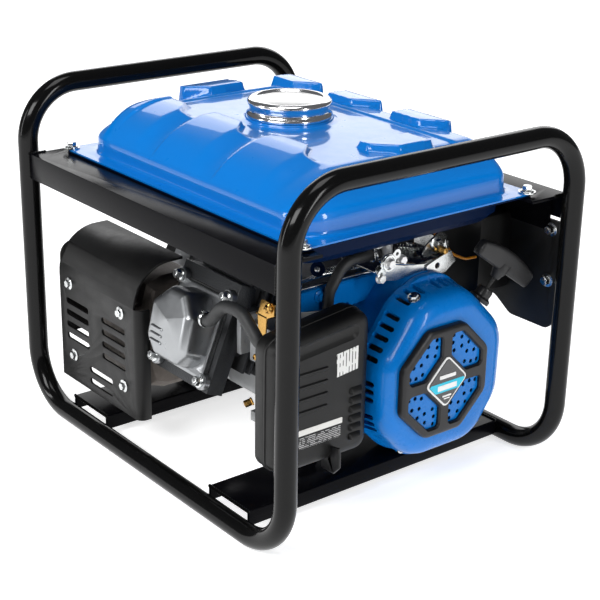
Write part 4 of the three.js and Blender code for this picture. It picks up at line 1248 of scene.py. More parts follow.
@dataclass
class Engine:
    """Crankcase, finned head, polished valve cover, plug and the oil filler."""

    face: float = 165.3
    centre: float = -33.0
    bolt_side: float = 41.0
    bolt_up: float = 45.0
    depth: float = 40.0
    case_face: float = -58.6
    plug_along: float = 128.3
    ear: float = 8.4
    cuts: Point2 = (16.0, 22.0)
    crease: float = 4.0
    lean: float = 0.26
    back: float = 0.10
    bars: int = 3
    bar_pitch: float = 7.0

    def build(self) -> None:
        """Builds the engine."""
        refined("crankcase", CAST, width=2.0, segments=2)
        refined("crankcase_cover", CAST, width=1.8, segments=2)
        refined("cylinder_head", DARK_CAST, width=0.8, segments=2)
        refined("spark_plug", WHITE_PLASTIC, width=0.5)
        refined("oil_dipstick", GREY_PLASTIC, width=0.8)
        self._valve_cover()
        self._plug_cap()
        for node, finish in (("crankshaft", STEEL), ("flywheel", CAST), ("piston", CAST)):
            recoat(node, finish)
        around = ((-40, 62), (20, 50), (88, 62), (96, 120), (80, 180), (30, 192), (-30, 188), (-46, 130))
        case = [(self.case_face, y, z) for y, z in around]
        fasten("case_bolts", case, hex_bolt(8.0, 5.0, 6.0), ZINC, (-1, 0, 0))

    def _outline(self, shrink: float, radius: float) -> list[Point2]:
        """Rounded rectangle of the cover, shrunk all round."""
        side, up = self.bolt_side - shrink, self.bolt_up - shrink
        return rectangle(-side, side, self.centre - up, self.centre + up, radius, 8)

    def _valve_cover(self) -> None:
        """The cover: eared flange, rounded body and three raised bars on its face."""
        turn = bore_matrix()
        face, far = self.face, self.face + self.depth
        corners = [(sx * self.bolt_side, self.centre + su * self.bolt_up) for sx in (-1, 1) for su in (-1, 1)]
        rim = self._outline(1.0, 9)
        flange = Shape().stack(Axis.Z, [(rim, face), (rim, face + 5.0), (self._outline(2.4, 9), face + 6.0)])
        cover = flange.moved(turn).to_object("valve_cover_flange")
        for x, u in corners:
            step = [(self.ear, face), (self.ear, face + 6.0), (self.ear - 1, face + 7.2), (0, face + 7.2)]
            ear = Shape().turned(Axis.Z, step, (x, u), 28)
            carved(cover, ear.moved(turn).to_object("ear"), "UNION")
        body = self._dome(face + 1.0, far)
        carved(cover, body.moved(turn).to_object("valve_cover_body"), "UNION")
        for k in range(self.bars):
            u = self.centre - 24.0 + self.bar_pitch * k
            low = far - self.lean * (self.centre + self.crease - u)
            edge = rectangle(-25, -5, u - 1.7, u + 1.7, 1.6, 4)
            bar = Shape().stack(Axis.Z, [(edge, low - 3), (edge, low + 0.8), (inset(edge, 0.8), low + 1.4)])
            carved(cover, bar.moved(turn).to_object("bar"), "UNION")
        cover.name = "valve_cover_casting"
        dress(cover, POLISHED, stands_for=["valve_cover"], angle=38)
        spots = [turn @ Vector((x, u, face + 7.2)) for x, u in corners]
        out = turn.to_3x3() @ Vector((0, 0, 1))
        fasten("valve_cover_bolts", spots, hex_bolt(9.0, 7.0, 6.6), ZINC, out)
        pad = Shape().prism(Axis.Z, self._outline(-0.6, 9), face - 0.25, face + 0.9)
        dress(pad.moved(turn).to_object("valve_cover_gasket"), RUBBER)

    def _dome(self, low: float, far: float) -> Shape:
        """The cover's body: cut corners, round shoulders and a face that leans back below a crease."""
        side, up, mid = self.bolt_side - 4.5, self.bolt_up - 5.5, self.centre
        lower, upper = self.cuts
        foot, head = mid - up, mid + up
        corners = [
            (-side, foot + lower), (-side + lower, foot), (side - lower, foot), (side, foot + lower),
            (side, head - upper), (side - upper, head), (-side + upper, head), (-side, head - upper),
        ]
        ring = arc_corners(corners, 12, 6)
        crease, lean, back = mid + self.crease, self.lean, self.back

        def level(shrink: float, depth: float) -> list[Vector]:
            """The outline shrunk and set at a depth that follows the two planes of the face."""
            layer = []
            for x, u in shrunk(ring, shrink):
                drop = max(crease - u, 0.0) * lean + max(u - crease, 0.0) * back
                share = min(max((depth - low) / (far - low), 0.0), 1.0) ** 2
                layer.append(Vector((x, u, depth - drop * share)))
            return layer

        steps = [
            (0.0, low), (0.0, low + 8), (0.8, low + 20), (1.8, far - 8), (2.8, far - 5), (4.6, far - 2.5),
            (7.0, far - 0.9), (9.6, far - 0.2), (12.0, far),
        ]
        shape = Shape().rings([level(a, z) for a, z in steps], caps=False)
        count, base = len(ring), len(shape.verts) - len(ring)
        rows = [shape.verts[base + k] for k in range(count)]
        centre = Vector((0.0, crease, far))
        shape.faces.append(list(range(count))[::-1])
        previous = list(range(base, base + count))
        for share in (0.35, 0.7, 0.92):
            start = len(shape.verts)
            for point in rows:
                spot = point.lerp(centre, share)
                spot.z = far - max(crease - spot.y, 0.0) * lean - max(spot.y - crease, 0.0) * back
                shape.verts.append(spot)
            for k in range(count):
                nxt = (k + 1) % count
                shape.faces.append([previous[k], previous[nxt], start + nxt, start + k])
            previous = list(range(start, start + count))
        shape.verts.append(centre)
        shape.faces += [[previous[k], previous[(k + 1) % count], len(shape.verts) - 1] for k in range(count)]
        return shape

    def _plug_cap(self) -> None:
        """Ribbed rubber plug cap and its lead."""
        turn = bore_matrix()
        along = self.plug_along
        ribs = [
            (5.4, 58.0), (9.0, 58.0), (9.4, 59.0), (9.0, 61.0), (7.8, 62.0), (8.8, 63.5),
            (8.8, 66.0), (7.8, 67.0), (8.6, 68.5), (8.6, 78.0), (6.0, 83.5), (0.02, 84.0),
        ]
        cap = Shape().stack(Axis.Y, [([(along + z, x) for x, z in circle(r, 28)], u) for r, u in ribs])
        dress(cap.moved(turn).to_object("plug_cap_rubber"), RUBBER, stands_for=["plug_cap"])
        start = turn @ Vector((0, 78.0, along))
        lead = route([start, start + Vector((0, 12, 6)), (40, 6, 236), (100, 30, 222), (116, 40, 214)], 14, 8)
        dress(Shape().sweep(lead, circle(3.4, 14)).to_object("ignition_lead"), RUBBER)


@dataclass
class Alternator:
    """Alternator housings behind the crankcase."""

    axis: Point2 = CRANK

    def build(self) -> None:
        """Builds the housings, their bolts and the visible winding."""
        refined("alternator_front_bell", CAST, width=1.5)
        refined("alternator_end_bell", CAST, width=1.5)
        refined("alternator_end_cover", SATIN_BLACK, width=1.5, segments=3)
        refined("alternator_stator", LAMINATED, width=0.8)
        recoat("alternator_rotor", COPPER)
        around = [self._spot(67.0, k * math.pi / 2 + math.pi / 4) for k in range(4)]
        studs = Shape()
        for y, z in around:
            studs.turned(Axis.X, [(3.0, -176.0), (3.0, -60.0)], (y, z), 14)
        dress(studs.to_object("alternator_studs"), ZINC)
        fasten("stud_nuts", [(-175.4, y, z) for y, z in around], hex_bolt(9.0, 6.0, 7.0), ZINC, (-1, 0, 0))
        cover = [(-199.5, *self._spot(60.0, k * math.pi * 2 / 3 + 0.4)) for k in range(3)]
        fasten("end_cover_screws", cover, pan_screw(4.5, 2.6), ZINC, (-1, 0, 0))

    def _spot(self, radius: float, turn: float) -> Point2:
        """A place around the crank axis."""
        return (self.axis[0] + radius * math.cos(turn), self.axis[1] + radius * math.sin(turn))


RIM = [(-45, 84), (-45, 150), (20, 228), (66, 228), (150, 151), (150, 80), (95, 28), (27, 28)]
STARTER = [(-43, 88), (-43, 158), (4, 222), (72, 222), (126, 168), (124, 92), (88, 44), (0, 44)]
DUCT = [(-40, 196), (-58, 200), (-96, 206), (-88, 224), (10, 226), (30, 200)]
LEAD = Vector((0.17, 0.57, 0.8)).normalized()
GUIDE = Vector((188.0, 100.0, 193.0))


def shrunk(points: Sequence[Point2], amount: float) -> list[Point2]:
    """An outline shrunk by an amount whichever way it runs."""
    area = sum(a[0] * b[1] - b[0] * a[1] for a, b in zip(points, list(points[1:]) + [points[0]]))
    return inset(points, amount if area > 0 else -amount)


def stepped(points: Sequence[Point2], radius: float, levels: Sequence[tuple[float, float]]) -> Shape:
    """A rounded outline across X, shrunk by a different amount at each level of (x, amount)."""
    ring = arc_corners(points, radius, 10)
    return Shape().stack(Axis.X, [(shrunk(ring, amount), x) for x, amount in levels])


@dataclass
class RecoilStarter:
    """Blue fan shroud and starter cover, black grille, badge, rope guide and handle."""

    back: float = 118.0
    front: float = 162.0
    cover: float = 162.3
    face: float = 212.0
    grille: Point2 = (29.0, 133.0)
    octagon: float = 63.0
    slot_rows: tuple[tuple[float, float, float, float, int], ...] = (
        (-36, 160, 7, 8.6, 5), (4, 208, 9, 4, 3), (44, 220, 9, -1, 3), (-44, 118, 0, 9, 3),
        (-40, 82, 0, 9, 3),
    )
    grip_half: float = 46.0
    grip_inner: float = 9.0
    grip_outer: float = 14.0
    grip_sag: float = 7.0
    grip_thick: float = 6.0
    grip_along: float = 47.0

    def build(self) -> None:
        """Builds the starter."""
        self._shroud()
        self._cover()
        self._grille()
        self._badge()
        self._reel_and_rope()
        self._handle()

    def _shroud(self) -> None:
        """Fan shroud with its duct over the head."""
        levels = [
            (self.back, 3.0), (self.back + 0.9, 0.9), (self.back + 3, 0.0), (self.front - 3, 0.0),
            (self.front - 0.9, 0.9), (self.front - 0.2, 2.4),
        ]
        shroud = stepped(RIM, 46, levels).to_object("fan_shroud_shell")
        duct = stepped(DUCT, 9, [(self.back, 1.6), (self.back + 1.6, 0.0), (129.4, 0.0), (131.0, 1.6)])
        carved(shroud, duct.to_object("duct"), "UNION")
        inside = stepped(RIM, 42, [(self.back + 2.5, 4.5), (self.front + 5, 4.5)])
        carved(shroud, inside.to_object("inside"))
        eye = Shape().turned(Axis.X, [(40, self.back - 1), (40, self.back + 5)], CRANK, 48)
        carved(shroud, eye.to_object("eye"))
        hole = Shape().turned(Axis.X, [(3.0, 122.0), (3.0, 136.0)], (-28.0, 199.5), 24)
        carved(shroud, hole.to_object("duct_hole"))
        dress(shroud, SHROUD_BLUE, stands_for=["fan_shroud"], angle=35)
        fasten("shroud_bolts", [(131.0, -64, 217)], hex_bolt(8.0, 4.5, 6.8), SHROUD_BLUE, (1, 0, 0))

    def _slots(self) -> Shape:
        """Cooling slots as cutters with rounded ends."""
        tools = Shape()
        for y, z, dy, dz, count in self.slot_rows:
            for k in range(count):
                cy, cz = y + k * dy, z + k * dz
                angle = math.atan2(cz - CRANK[1], cy - CRANK[0])
                tool = Shape().prism(
                    Axis.Y, rectangle(-2.7, 2.7, self.cover + 8, self.cover + 28, 2.6, 5), -14, 26,
                )
                tool.moved(Matrix.Translation((0, cy, cz)) @ Matrix.Rotation(angle, 4, "X"))
                tools.add(tool)
        return tools

    def _cover(self) -> None:
        """Starter cover: flange, domed body and slots."""
        far = self.face
        flange = stepped(
            RIM, 46,
            [
                (self.cover, 1.6), (self.cover + 1.0, 0.4), (self.cover + 2, 0.0), (self.cover + 6, 0.0),
                (self.cover + 8, 0.8), (self.cover + 9, 2.6),
            ],
        )
        cover = flange.to_object("starter_cover_shell")
        body = stepped(STARTER, 48, [
            (self.cover + 3, -1.5), (self.cover + 8.5, -1.2), (self.cover + 11, -0.2),
            (self.cover + 14, 0.4), (far - 20, 2.4),
            (far - 14, 3.6), (far - 9.5, 5.6), (far - 6, 8.4), (far - 3.4, 11.8), (far - 1.4, 16.0),
            (far - 0.4, 20.5), (far, 25.0),
        ])
        carved(cover, body.to_object("body"), "UNION")
        hollow = stepped(
            STARTER, 44, [(self.cover - 1, 3.0), (far - 14, 6.2), (far - 8, 11.0), (far - 4, 20.0)],
        )
        carved(cover, hollow.to_object("hollow"))
        carved(cover, self._slots().to_object("slots"))
        rope = Shape().turned(Axis.Z, [(4.0, 160.0), (4.0, 212.0)], (188.0, 100.0), 20)
        carved(cover, rope.to_object("rope_hole"))
        dress(cover, SHROUD_BLUE, stands_for=["starter_cover"], angle=33)
        axle = Shape().turned(Axis.X, [(8.5, 176.0), (8.5, 210.0)], CRANK, 32)
        dress(axle.to_object("reel_axle"), STEEL)
        spots = [(self.cover + 9, -38.0, 160.0), (self.cover + 9, 128.0, 160.0), (self.cover + 9, 18.0, 42.0)]
        fasten("starter_screws", spots, hex_bolt(8.0, 4.0, 6.0), ZINC, (1, 0, 0))
        fasten("cover_top_screw", [(189.0, 9.0, 217.0)], hex_bolt(8.0, 4.6, 6.6), ZINC, (0.25, -0.45, 0.85))

    def _octagon(self, radius: float, corner: float) -> list[Point2]:
        """Octagon round the badge, on flats."""
        y, z = self.grille
        turns = [(k + 0.5) * math.pi / 4 for k in range(8)]
        return arc_corners([(y + radius * math.cos(t), z + radius * math.sin(t)) for t in turns], corner, 6)

    def _grille(self) -> None:
        """Black eight-sided grille with four windows over a perforated sheet."""
        low, high = self.face + 0.3, self.face + 8.3
        outer = self._octagon(self.octagon, 14)
        levels = [
            (low, 0.6), (low + 0.8, 0.0), (high - 3.4, 0.0), (high - 1.4, 0.9), (high - 0.3, 2.6),
            (high, 5.0),
        ]
        ring = Shape().stack(Axis.X, [(shrunk(outer, a), x) for x, a in levels]).to_object("grille_ring")
        window = [(6.5, 27), (6.5, 49), (21, 49), (49, 21), (49, 6.5), (27, 6.5)]
        for quarter in range(4):
            angle = quarter * math.pi / 2
            cos, sin = math.cos(angle), math.sin(angle)
            spots = [
                (self.grille[0] + a * cos - b * sin, self.grille[1] + a * sin + b * cos) for a, b in window
            ]
            edge = arc_corners(spots, 4.5, 5)
            cutter = Shape().stack(
                Axis.X, [(edge, low - 2), (edge, high - 2.0), (shrunk(edge, -2.0), high + 1)],
            )
            carved(ring, cutter.to_object("window"))
        dress(ring, BLACK_PLASTIC, stands_for=["starter_grille"], angle=32)
        backing = Shape().stack(Axis.X, [(shrunk(outer, 5), low - 0.1), (shrunk(outer, 5), low + 0.5)])
        dress(backing.to_object("grille_backing"), SATIN_BLACK)
        self._perforated(low + 2.2)

    def _perforated(self, x: float) -> None:
        """Blue sheet behind the windows, with round holes near its rim."""
        outer = self._octagon(self.octagon - 6, 12)
        sheet = Shape().stack(Axis.X, [(outer, x), (outer, x + 1.2)]).to_object("perforated_sheet")
        spots: list[Point3] = []
        y0, z0 = self.grille
        for quarter in range(4):
            base = quarter * math.pi / 2
            for reach, turns in ((47.0, (14, 29, 45, 61, 76)), (39.0, (16, 37, 53, 74)), (31.5, (24, 66))):
                for turn in turns:
                    angle = base + math.radians(turn)
                    spots.append((x - 2, y0 + reach * math.cos(angle), z0 + reach * math.sin(angle)))
        hole = Shape().turned(Axis.Z, [(2.3, 0), (2.3, 6)], count=16).to_object("hole")
        carved(sheet, REPEAT.make("holes", spots, hole, SHROUD_BLUE, (1, 0, 0)))
        dress(sheet, SHROUD_BLUE)

    def _badge(self) -> None:
        """Plain diamond badge: white rim, black field, cyan band."""
        y, z = self.grille
        x = self.face + 7.9

        def diamond(reach: float, low: float, high: float, corner: float) -> Shape:
            """A square on its corner."""
            points = [(y + reach, z), (y, z + reach), (y - reach, z), (y, z - reach)]
            edge = arc_corners(points, corner, 5)
            return Shape().stack(Axis.X, [(edge, low), (edge, high - 0.4), (shrunk(edge, 0.4), high)])

        dress(diamond(28.5, x - 4, x + 1.4, 5).to_object("badge_rim"), BADGE_WHITE)
        dress(diamond(26, x, x + 1.9, 4).to_object("badge_field"), BADGE_BLACK)
        edge = [
            (y + a, z + b)
            for a, b in ((-15.5, -10), (15.5, -10), (24, -1.5), (22, 0.5), (-22, 0.5), (-24, -1.5))
        ]
        band = Shape().stack(Axis.X, [(edge, x + 1.2), (edge, x + 2.1)])
        dress(band.to_object("badge_band"), BADGE_CYAN)
        bars = Shape()
        for low, high, left, right in (
            (-7.8, -2.2, -13, 13), (4.6, 8.4, -11, 11), (-15.8, -14.0, -6, 6), (-18.4, -17.0, -4, 4),
        ):
            edge = rectangle(y + left, y + right, z + low, z + high, 0.7, 3)
            bars.stack(Axis.X, [(edge, x + 1.4), (edge, x + 2.3)])
        dress(bars.to_object("badge_bars"), BADGE_WHITE)

    def _reel_and_rope(self) -> None:
        """Rope guide, the short rope and the reel."""
        refined("starter_reel", GREY_PLASTIC, width=0.5)
        turn = facing(LEAD, GUIDE)
        guide = [
            (3.2, 0), (11.0, 0), (11.4, 1.0), (11.4, 4.4), (10.6, 5.2), (8.8, 6.4), (8.5, 8.0), (8.5, 13.0),
            (7.6, 15.4), (6.0, 16.0), (4.0, 15.6), (3.2, 14.4),
        ]
        dress(
            Shape().ring_turned(Axis.Z, guide, count=40).moved(turn).to_object("rope_guide_collar"),
            BLACK_PLASTIC, stands_for=["rope_guide"],
        )
        start, end = GUIDE + LEAD * 10.0, GUIDE + LEAD * 29.6
        rope = Shape().sweep(
            [start.lerp(end, k / 48) for k in range(49)], circle(2.3, 14),
        ).to_object("starter_cord")
        rope.data.materials.append(PAINTS.material(ROPE))
        smooth(rope)
        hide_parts("starter_rope")
        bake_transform(rope)

    def _handle(self) -> None:
        """D-shaped slab grip on a funnel-shaped stem."""
        axis = Vector((0.0, 0.8, -0.6))
        axis = (axis - LEAD * axis.dot(LEAD)).normalized()
        across = LEAD.cross(axis)
        centre = GUIDE + LEAD * self.grip_along
        rings = []
        for k in range(45):
            t = -1 + 2 * k / 44
            close = abs(math.sin(t * math.pi / 2))
            reach = math.copysign(self.grip_half * close, t)
            round_end = (1 - max(close - 0.93, 0.0) ** 2 / 0.07**2) ** 0.5 if close < 1 else 0.02
            high = self.grip_outer - self.grip_sag * close**2
            end = max(round_end, 0.02)
            wide, thick = self.grip_thick * end, (high + self.grip_inner) / 2 * end
            spot = centre + axis * reach + LEAD * (high - self.grip_inner) / 2
            ring = []
            for c, n in circle(1.0, 36):
                shape = (abs(c) ** 4 + abs(n) ** 4) ** -0.25
                ring.append(spot + across * (wide * c * shape) + LEAD * (thick * n * shape))
            rings.append(ring)
        grip = Shape().rings(rings).to_object("pull_grip")
        turn = facing(LEAD, GUIDE)
        stem = [(0, 29), (4.6, 29), (5.2, 29.6), (6.0, 33.0), (7.8, 37.0), (8.4, 38.6), (8.4, 46.0), (0, 46)]
        carved(grip, Shape().turned(Axis.Z, stem, count=32).moved(turn).to_object("stem"), "UNION")
        dress(grip, GREY_PLASTIC, "pull_handle", ["starter_handle"], angle=45)


FILTER = [(-165, 72), (-49, 72), (-49, 222), (-165, 208)]
PORT: Point2 = (-96.85, 171.68)
FUEL_LINE = [
    (140, 3.7, 251), (140, -40.3, 251), (138, -58.3, 221), (136, -58.3, 165.7), (114.3, -56.3, 159.7),
    (114.3, -76.55, 159.7),
]
BREATHER_LINE = [
    (56.3, -152, 190.7), (69.3, -152, 190.7), (88.3, -150, 213.7), (118.7, -150, 217), (146.7, -150, 194),
    (158.7, -150, 194),
]


@dataclass
class Intake:
    """Air cleaner, carburettor, fuel hose and breather hose."""

    back: float = 159.0
    split: float = 174.0
    face: float = 194.0
    corner: float = 15.0
    clip_y: float = -96.0
    bowl_x: float = 108.3

    def build(self) -> None:
        """Builds the intake."""
        self._cleaner()
        self._carburettor()
        self._hoses()
        recoat("air_filter_element", FOAM)

    def _cleaner(self) -> None:
        """Air cleaner base, cover, ribs, louvres and clip."""
        back, split, far = self.back, self.split, self.face
        levels = [
            (back, 2.5), (back + 1.2, 0.8), (back + 3, 0.2), (split - 3, 0.2), (split - 2.6, -1.0),
            (split, -1.0),
        ]
        shell = stepped(FILTER, self.corner, levels).to_object("air_cleaner_back")
        profile = [(0, 145.2), (15.4, 145.2), (16.0, 145.8), (16.0, back + 2), (0, back + 2)]
        stub = Shape().turned(Axis.X, profile, PORT, 40)
        carved(shell, stub.to_object("stub"), "UNION")
        inside = stepped(FILTER, self.corner, [(back + 3, 3), (split + 4, 3)])
        carved(shell, inside.to_object("inside"))
        dress(shell, SATIN_BLACK, stands_for=["air_cleaner_base"])
        levels = [
            (split + 0.3, -1.0), (split + 3.2, -1.0), (split + 3.6, 0.0), (far - 9, 0.6), (far - 5, 1.8),
            (far - 2.4, 3.8), (far - 0.7, 7.0), (far, 11.0),
        ]
        cover = stepped(FILTER, self.corner, levels).to_object("air_cleaner_front")
        hollow = stepped(FILTER, self.corner, [(split - 1, 3), (far - 9, 3.4), (far - 3.4, 9)])
        carved(cover, hollow.to_object("hollow"))
        groove = arc_corners([(-157, 188), (-68, 197), (-68, 209), (-157, 199)], 5, 5)
        steps = [(shrunk(groove, a), x) for x, a in ((far - 2.6, 2.5), (far - 2.2, 1.0), (far + 0.6, -3.0))]
        carved(cover, Shape().stack(Axis.X, steps).to_object("groove"))
        for z in (134, 147, 160, 173):
            edge = rectangle(-153, -103, z - 2.2, z + 2.2, 2.1, 5)
            rib = Shape().stack(Axis.X, [(edge, far - 4), (edge, far + 0.2), (shrunk(edge, 1.2), far + 1.5)])
            carved(cover, rib.to_object("rib"), "UNION")
        dress(cover, SATIN_BLACK, stands_for=["air_cleaner_cover"], angle=33)
        foot, middle, tip = (
            rectangle(-8, 8, -4.2, 4.2, 1.5, 4), rectangle(-7.4, 7.4, -3.8, 2.4, 1.5, 4),
            rectangle(-5.6, 5.6, -3.6, -0.6, 1.2, 4),
        )
        bump = Shape().stack(Axis.X, [(foot, -0.8), (middle, 1.6), (tip, 3.6)])
        spots = [(far - 0.4, -68.0, 92.0 + 9.8 * k) for k in range(6)]
        fasten("cleaner_louvres", spots, bump.to_object("bump"), SATIN_BLACK, (0, 0, 1), spin=0.0)
        edge = arc_corners([(-93, 160), (-66, 163), (-66, 187), (-93, 184)], 0.8, 3)
        label = Shape().prism(Axis.X, edge, far - 0.3, far + 0.4)
        dress(label.to_object("cleaner_label"), LABEL)
        plate = Shape().prism(Axis.X, rectangle(-140, -84, 110, 116, 0.6), far - 0.3, far + 0.35)
        dress(plate.to_object("cleaner_plate"), WHITE_PLASTIC)
        lines = Shape().prism(Axis.X, rectangle(-138, -86, 96, 108, 0.6), far - 0.3, far + 0.3)
        dress(lines.to_object("cleaner_lines"), FINE_PRINT)
        bends = (
            (split + 6, 68.6), (far - 4, 68.2), (far + 2, 68.4), (far + 4.2, 70.6), (far + 4.2, 82.0),
            (far + 3.0, 88.0),
        )
        clip = Shape().sweep(
            [Vector((x, self.clip_y, z)) for x, z in bends], rectangle(-1.3, 1.3, -9, 9, 1.0, 3),
        )
        dress(clip.to_object("cleaner_clip"), BLACK_PLASTIC, "latch", ["air_cleaner_latch"], angle=35)

    def _carburettor(self) -> None:
        """Carburettor, its bowl, studs and screws."""
        refined("carburettor", CAST, width=1.2, segments=3)
        y, z = PORT
        bowl = [
            (0, z - 57.5), (5, z - 57.5), (5.4, z - 56.4), (17.0, z - 56.4), (18.8, z - 54.6),
            (19.3, z - 52), (19.3, z - 27), (20.6, z - 26.4), (20.6, z - 23), (0, z - 23),
        ]
        dress(Shape().turned(Axis.Z, bowl, (self.bowl_x, y), 48).to_object("float_bowl"), POLISHED)
        fasten("bowl_bolt", [(self.bowl_x, y, z - 57.4)], hex_bolt(9.0, 5.0, 6.5), GOLD_ZINC, (0, 0, -1))
        fasten(
            "carburettor_screws", [(98, y - 20.2, z + 12), (119, y - 20.2, z + 12), (98, y - 20.2, z - 18)],
            pan_screw(3.4, 2.4), GOLD_ZINC, (0, -1, 0),
        )
        refined("choke_lever", GREY_PLASTIC, width=0.9)

    def _hoses(self) -> None:
        """Fuel and breather hoses with their clamps."""
        hose = Shape().sweep(route(FUEL_LINE, 24, 12), circle(5.8, 28))
        dress(hose.to_object("fuel_hose_rubber"), RUBBER, stands_for=["fuel_hose"])
        breather = route(BREATHER_LINE, 26, 14)
        dress(
            Shape().sweep(breather, circle(6.5, 28)).to_object("breather_hose_rubber"), RUBBER,
            stands_for=["breather_hose"],
        )
        self._clamp("fuel_hose_clamp", Vector((140, -5, 251)), Vector((0, 1, 0)), 6.2)
        self._clamp("carburettor_hose_clamp", Vector((114.3, -68, 159.7)), Vector((0, 1, 0)), 6.2)
        self._clamp("breather_clamp", Vector((62, -152, 190.7)), Vector((1, 0, 0)), 6.9)
        bracket = [(179, 114), (179, 124), (206, 126), (212, 138), (224, 138), (224, 118), (206, 112)]
        plate = Shape().prism(Axis.Y, arc_corners(bracket, 2.0, 4), -125.6, -124.0)
        plate.prism(Axis.Z, rectangle(108, 128, -125.6, -114, 1.5, 3), 206.0, 207.6)
        dress(plate.to_object("choke_bracket"), GOLD_ZINC)
        fasten("choke_bracket_nut", [(130, -125.6, 218)], hex_bolt(7.0, 5.0, 5.4), GOLD_ZINC, (0, -1, 0))
        fasten("bowl_drain_screw", [(97, -120, 106)], hex_bolt(6.5, 9.0, 4.4), GOLD_ZINC, (-0.3, -0.9, -0.3))

    @staticmethod
    def _clamp(name: str, centre: Vector, along: Vector, radius: float) -> None:
        """Spring wire clamp: two turns of wire with standing ends."""
        side = along.orthogonal().normalized()
        other = along.cross(side)
        line = []
        for k in range(57):
            turn = 2 * math.pi * 2.2 * k / 56
            spoke = side * math.cos(turn) + other * math.sin(turn)
            line.append(centre + along * (3.0 * (k / 56 - 0.5)) + spoke * (radius + 0.6))
        line.append(line[-1] + (line[-1] - centre).normalized() * 6)
        dress(Shape().sweep(line, circle(0.9, 8)).to_object(name), ZINC)


@dataclass
class Exhaust:
    """Muffler behind its louvred black shield."""

    left: float = -198.0
    right: float = -36.0
    low: float = 44.0
    high: float = 216.0
    face: float = -170.0
    bend: float = 48.0
    thick: float = 2.5
    louvre_length: float = 48.0
    louvre_height: float = 7.0
    louvre_pitch: float = 14.0

    def build(self) -> None:
        """Builds the muffler and the shield."""
        refined("muffler", EXHAUST, width=1.5)
        self._shield()
        heads = [(x, self.face, z) for x, z in ((-176, 160), (-70, 159), (-170, 76), (-66, 76))]
        fasten("shield_screws", heads, hex_bolt(8.0, 4.6, 7.0), ZINC, (0, -1, 0))

    def _section(self) -> list[Point2]:
        """The folded sheet's outline in Y and Z."""
        far, top, bend = self.face + 64, self.high, self.bend
        y, z = self.face + bend, top - bend
        steps = 20
        turns = [math.pi / 2 * k / steps for k in range(steps + 1)]
        outer, inner = (
            [(y - radius * math.cos(a), z + radius * math.sin(a)) for a in turns]
            for radius in (bend, bend - self.thick)
        )
        ends = [(far, top), (far, top - self.thick)]
        return [(self.face, self.low)] + outer + ends + inner[::-1] + [(self.face + self.thick, self.low)]

    def _shield(self) -> None:
        """Folded sheet with side lip and slots."""
        bend = 9.0
        sheet = Shape().prism(Axis.X, self._section(), self.left, self.right - bend).to_object("heat_shield")
        turns = [math.pi / 2 * k / 8 for k in range(9)]
        x, y, thin = self.right - bend, self.face + bend, bend - self.thick
        outer, inner = (
            [(x + radius * math.sin(t), y - radius * math.cos(t)) for t in turns] for radius in (bend, thin)
        )
        lip = [(self.right, self.face + 15), (self.right - self.thick, self.face + 15)]
        fold = Shape().prism(Axis.Z, outer + lip + inner[::-1], self.low, self.high - self.bend + 2)
        carved(sheet, fold.to_object("fold"), "UNION")
        edge = arc_corners([(184, -46), (240, -46), (240, -20), (184, -20)], 8, 6)
        corner = Shape().prism(Axis.Y, edge, self.face - 1, self.face + 70)
        carved(sheet, corner.to_object("corner"))
        edge = rectangle(self.face + 1.5, self.face + 62, self.low + 50, self.high - 14, 16, 8)
        side = Shape().prism(Axis.X, edge, self.left, self.left + self.thick)
        carved(sheet, side.to_object("side"), "UNION")
        tools = Shape()
        for x, top, count in ((self.left + 13, 142, 4), (self.right - 74, 142, 4), (self.right - 102, 74, 2)):
            for k in range(count):
                z = top - self.louvre_pitch * k
                slot = rectangle(z - self.louvre_height, z, x, x + self.louvre_length, 3.4, 6)
                tools.prism(Axis.Y, slot, self.face - 3, self.face + self.thick + 3)
        carved(sheet, tools.to_object("slots"))
        bevelled(sheet, 0.5, 2, 50)
        dress(sheet, SATIN_BLACK, stands_for=["muffler_shield"], angle=35)


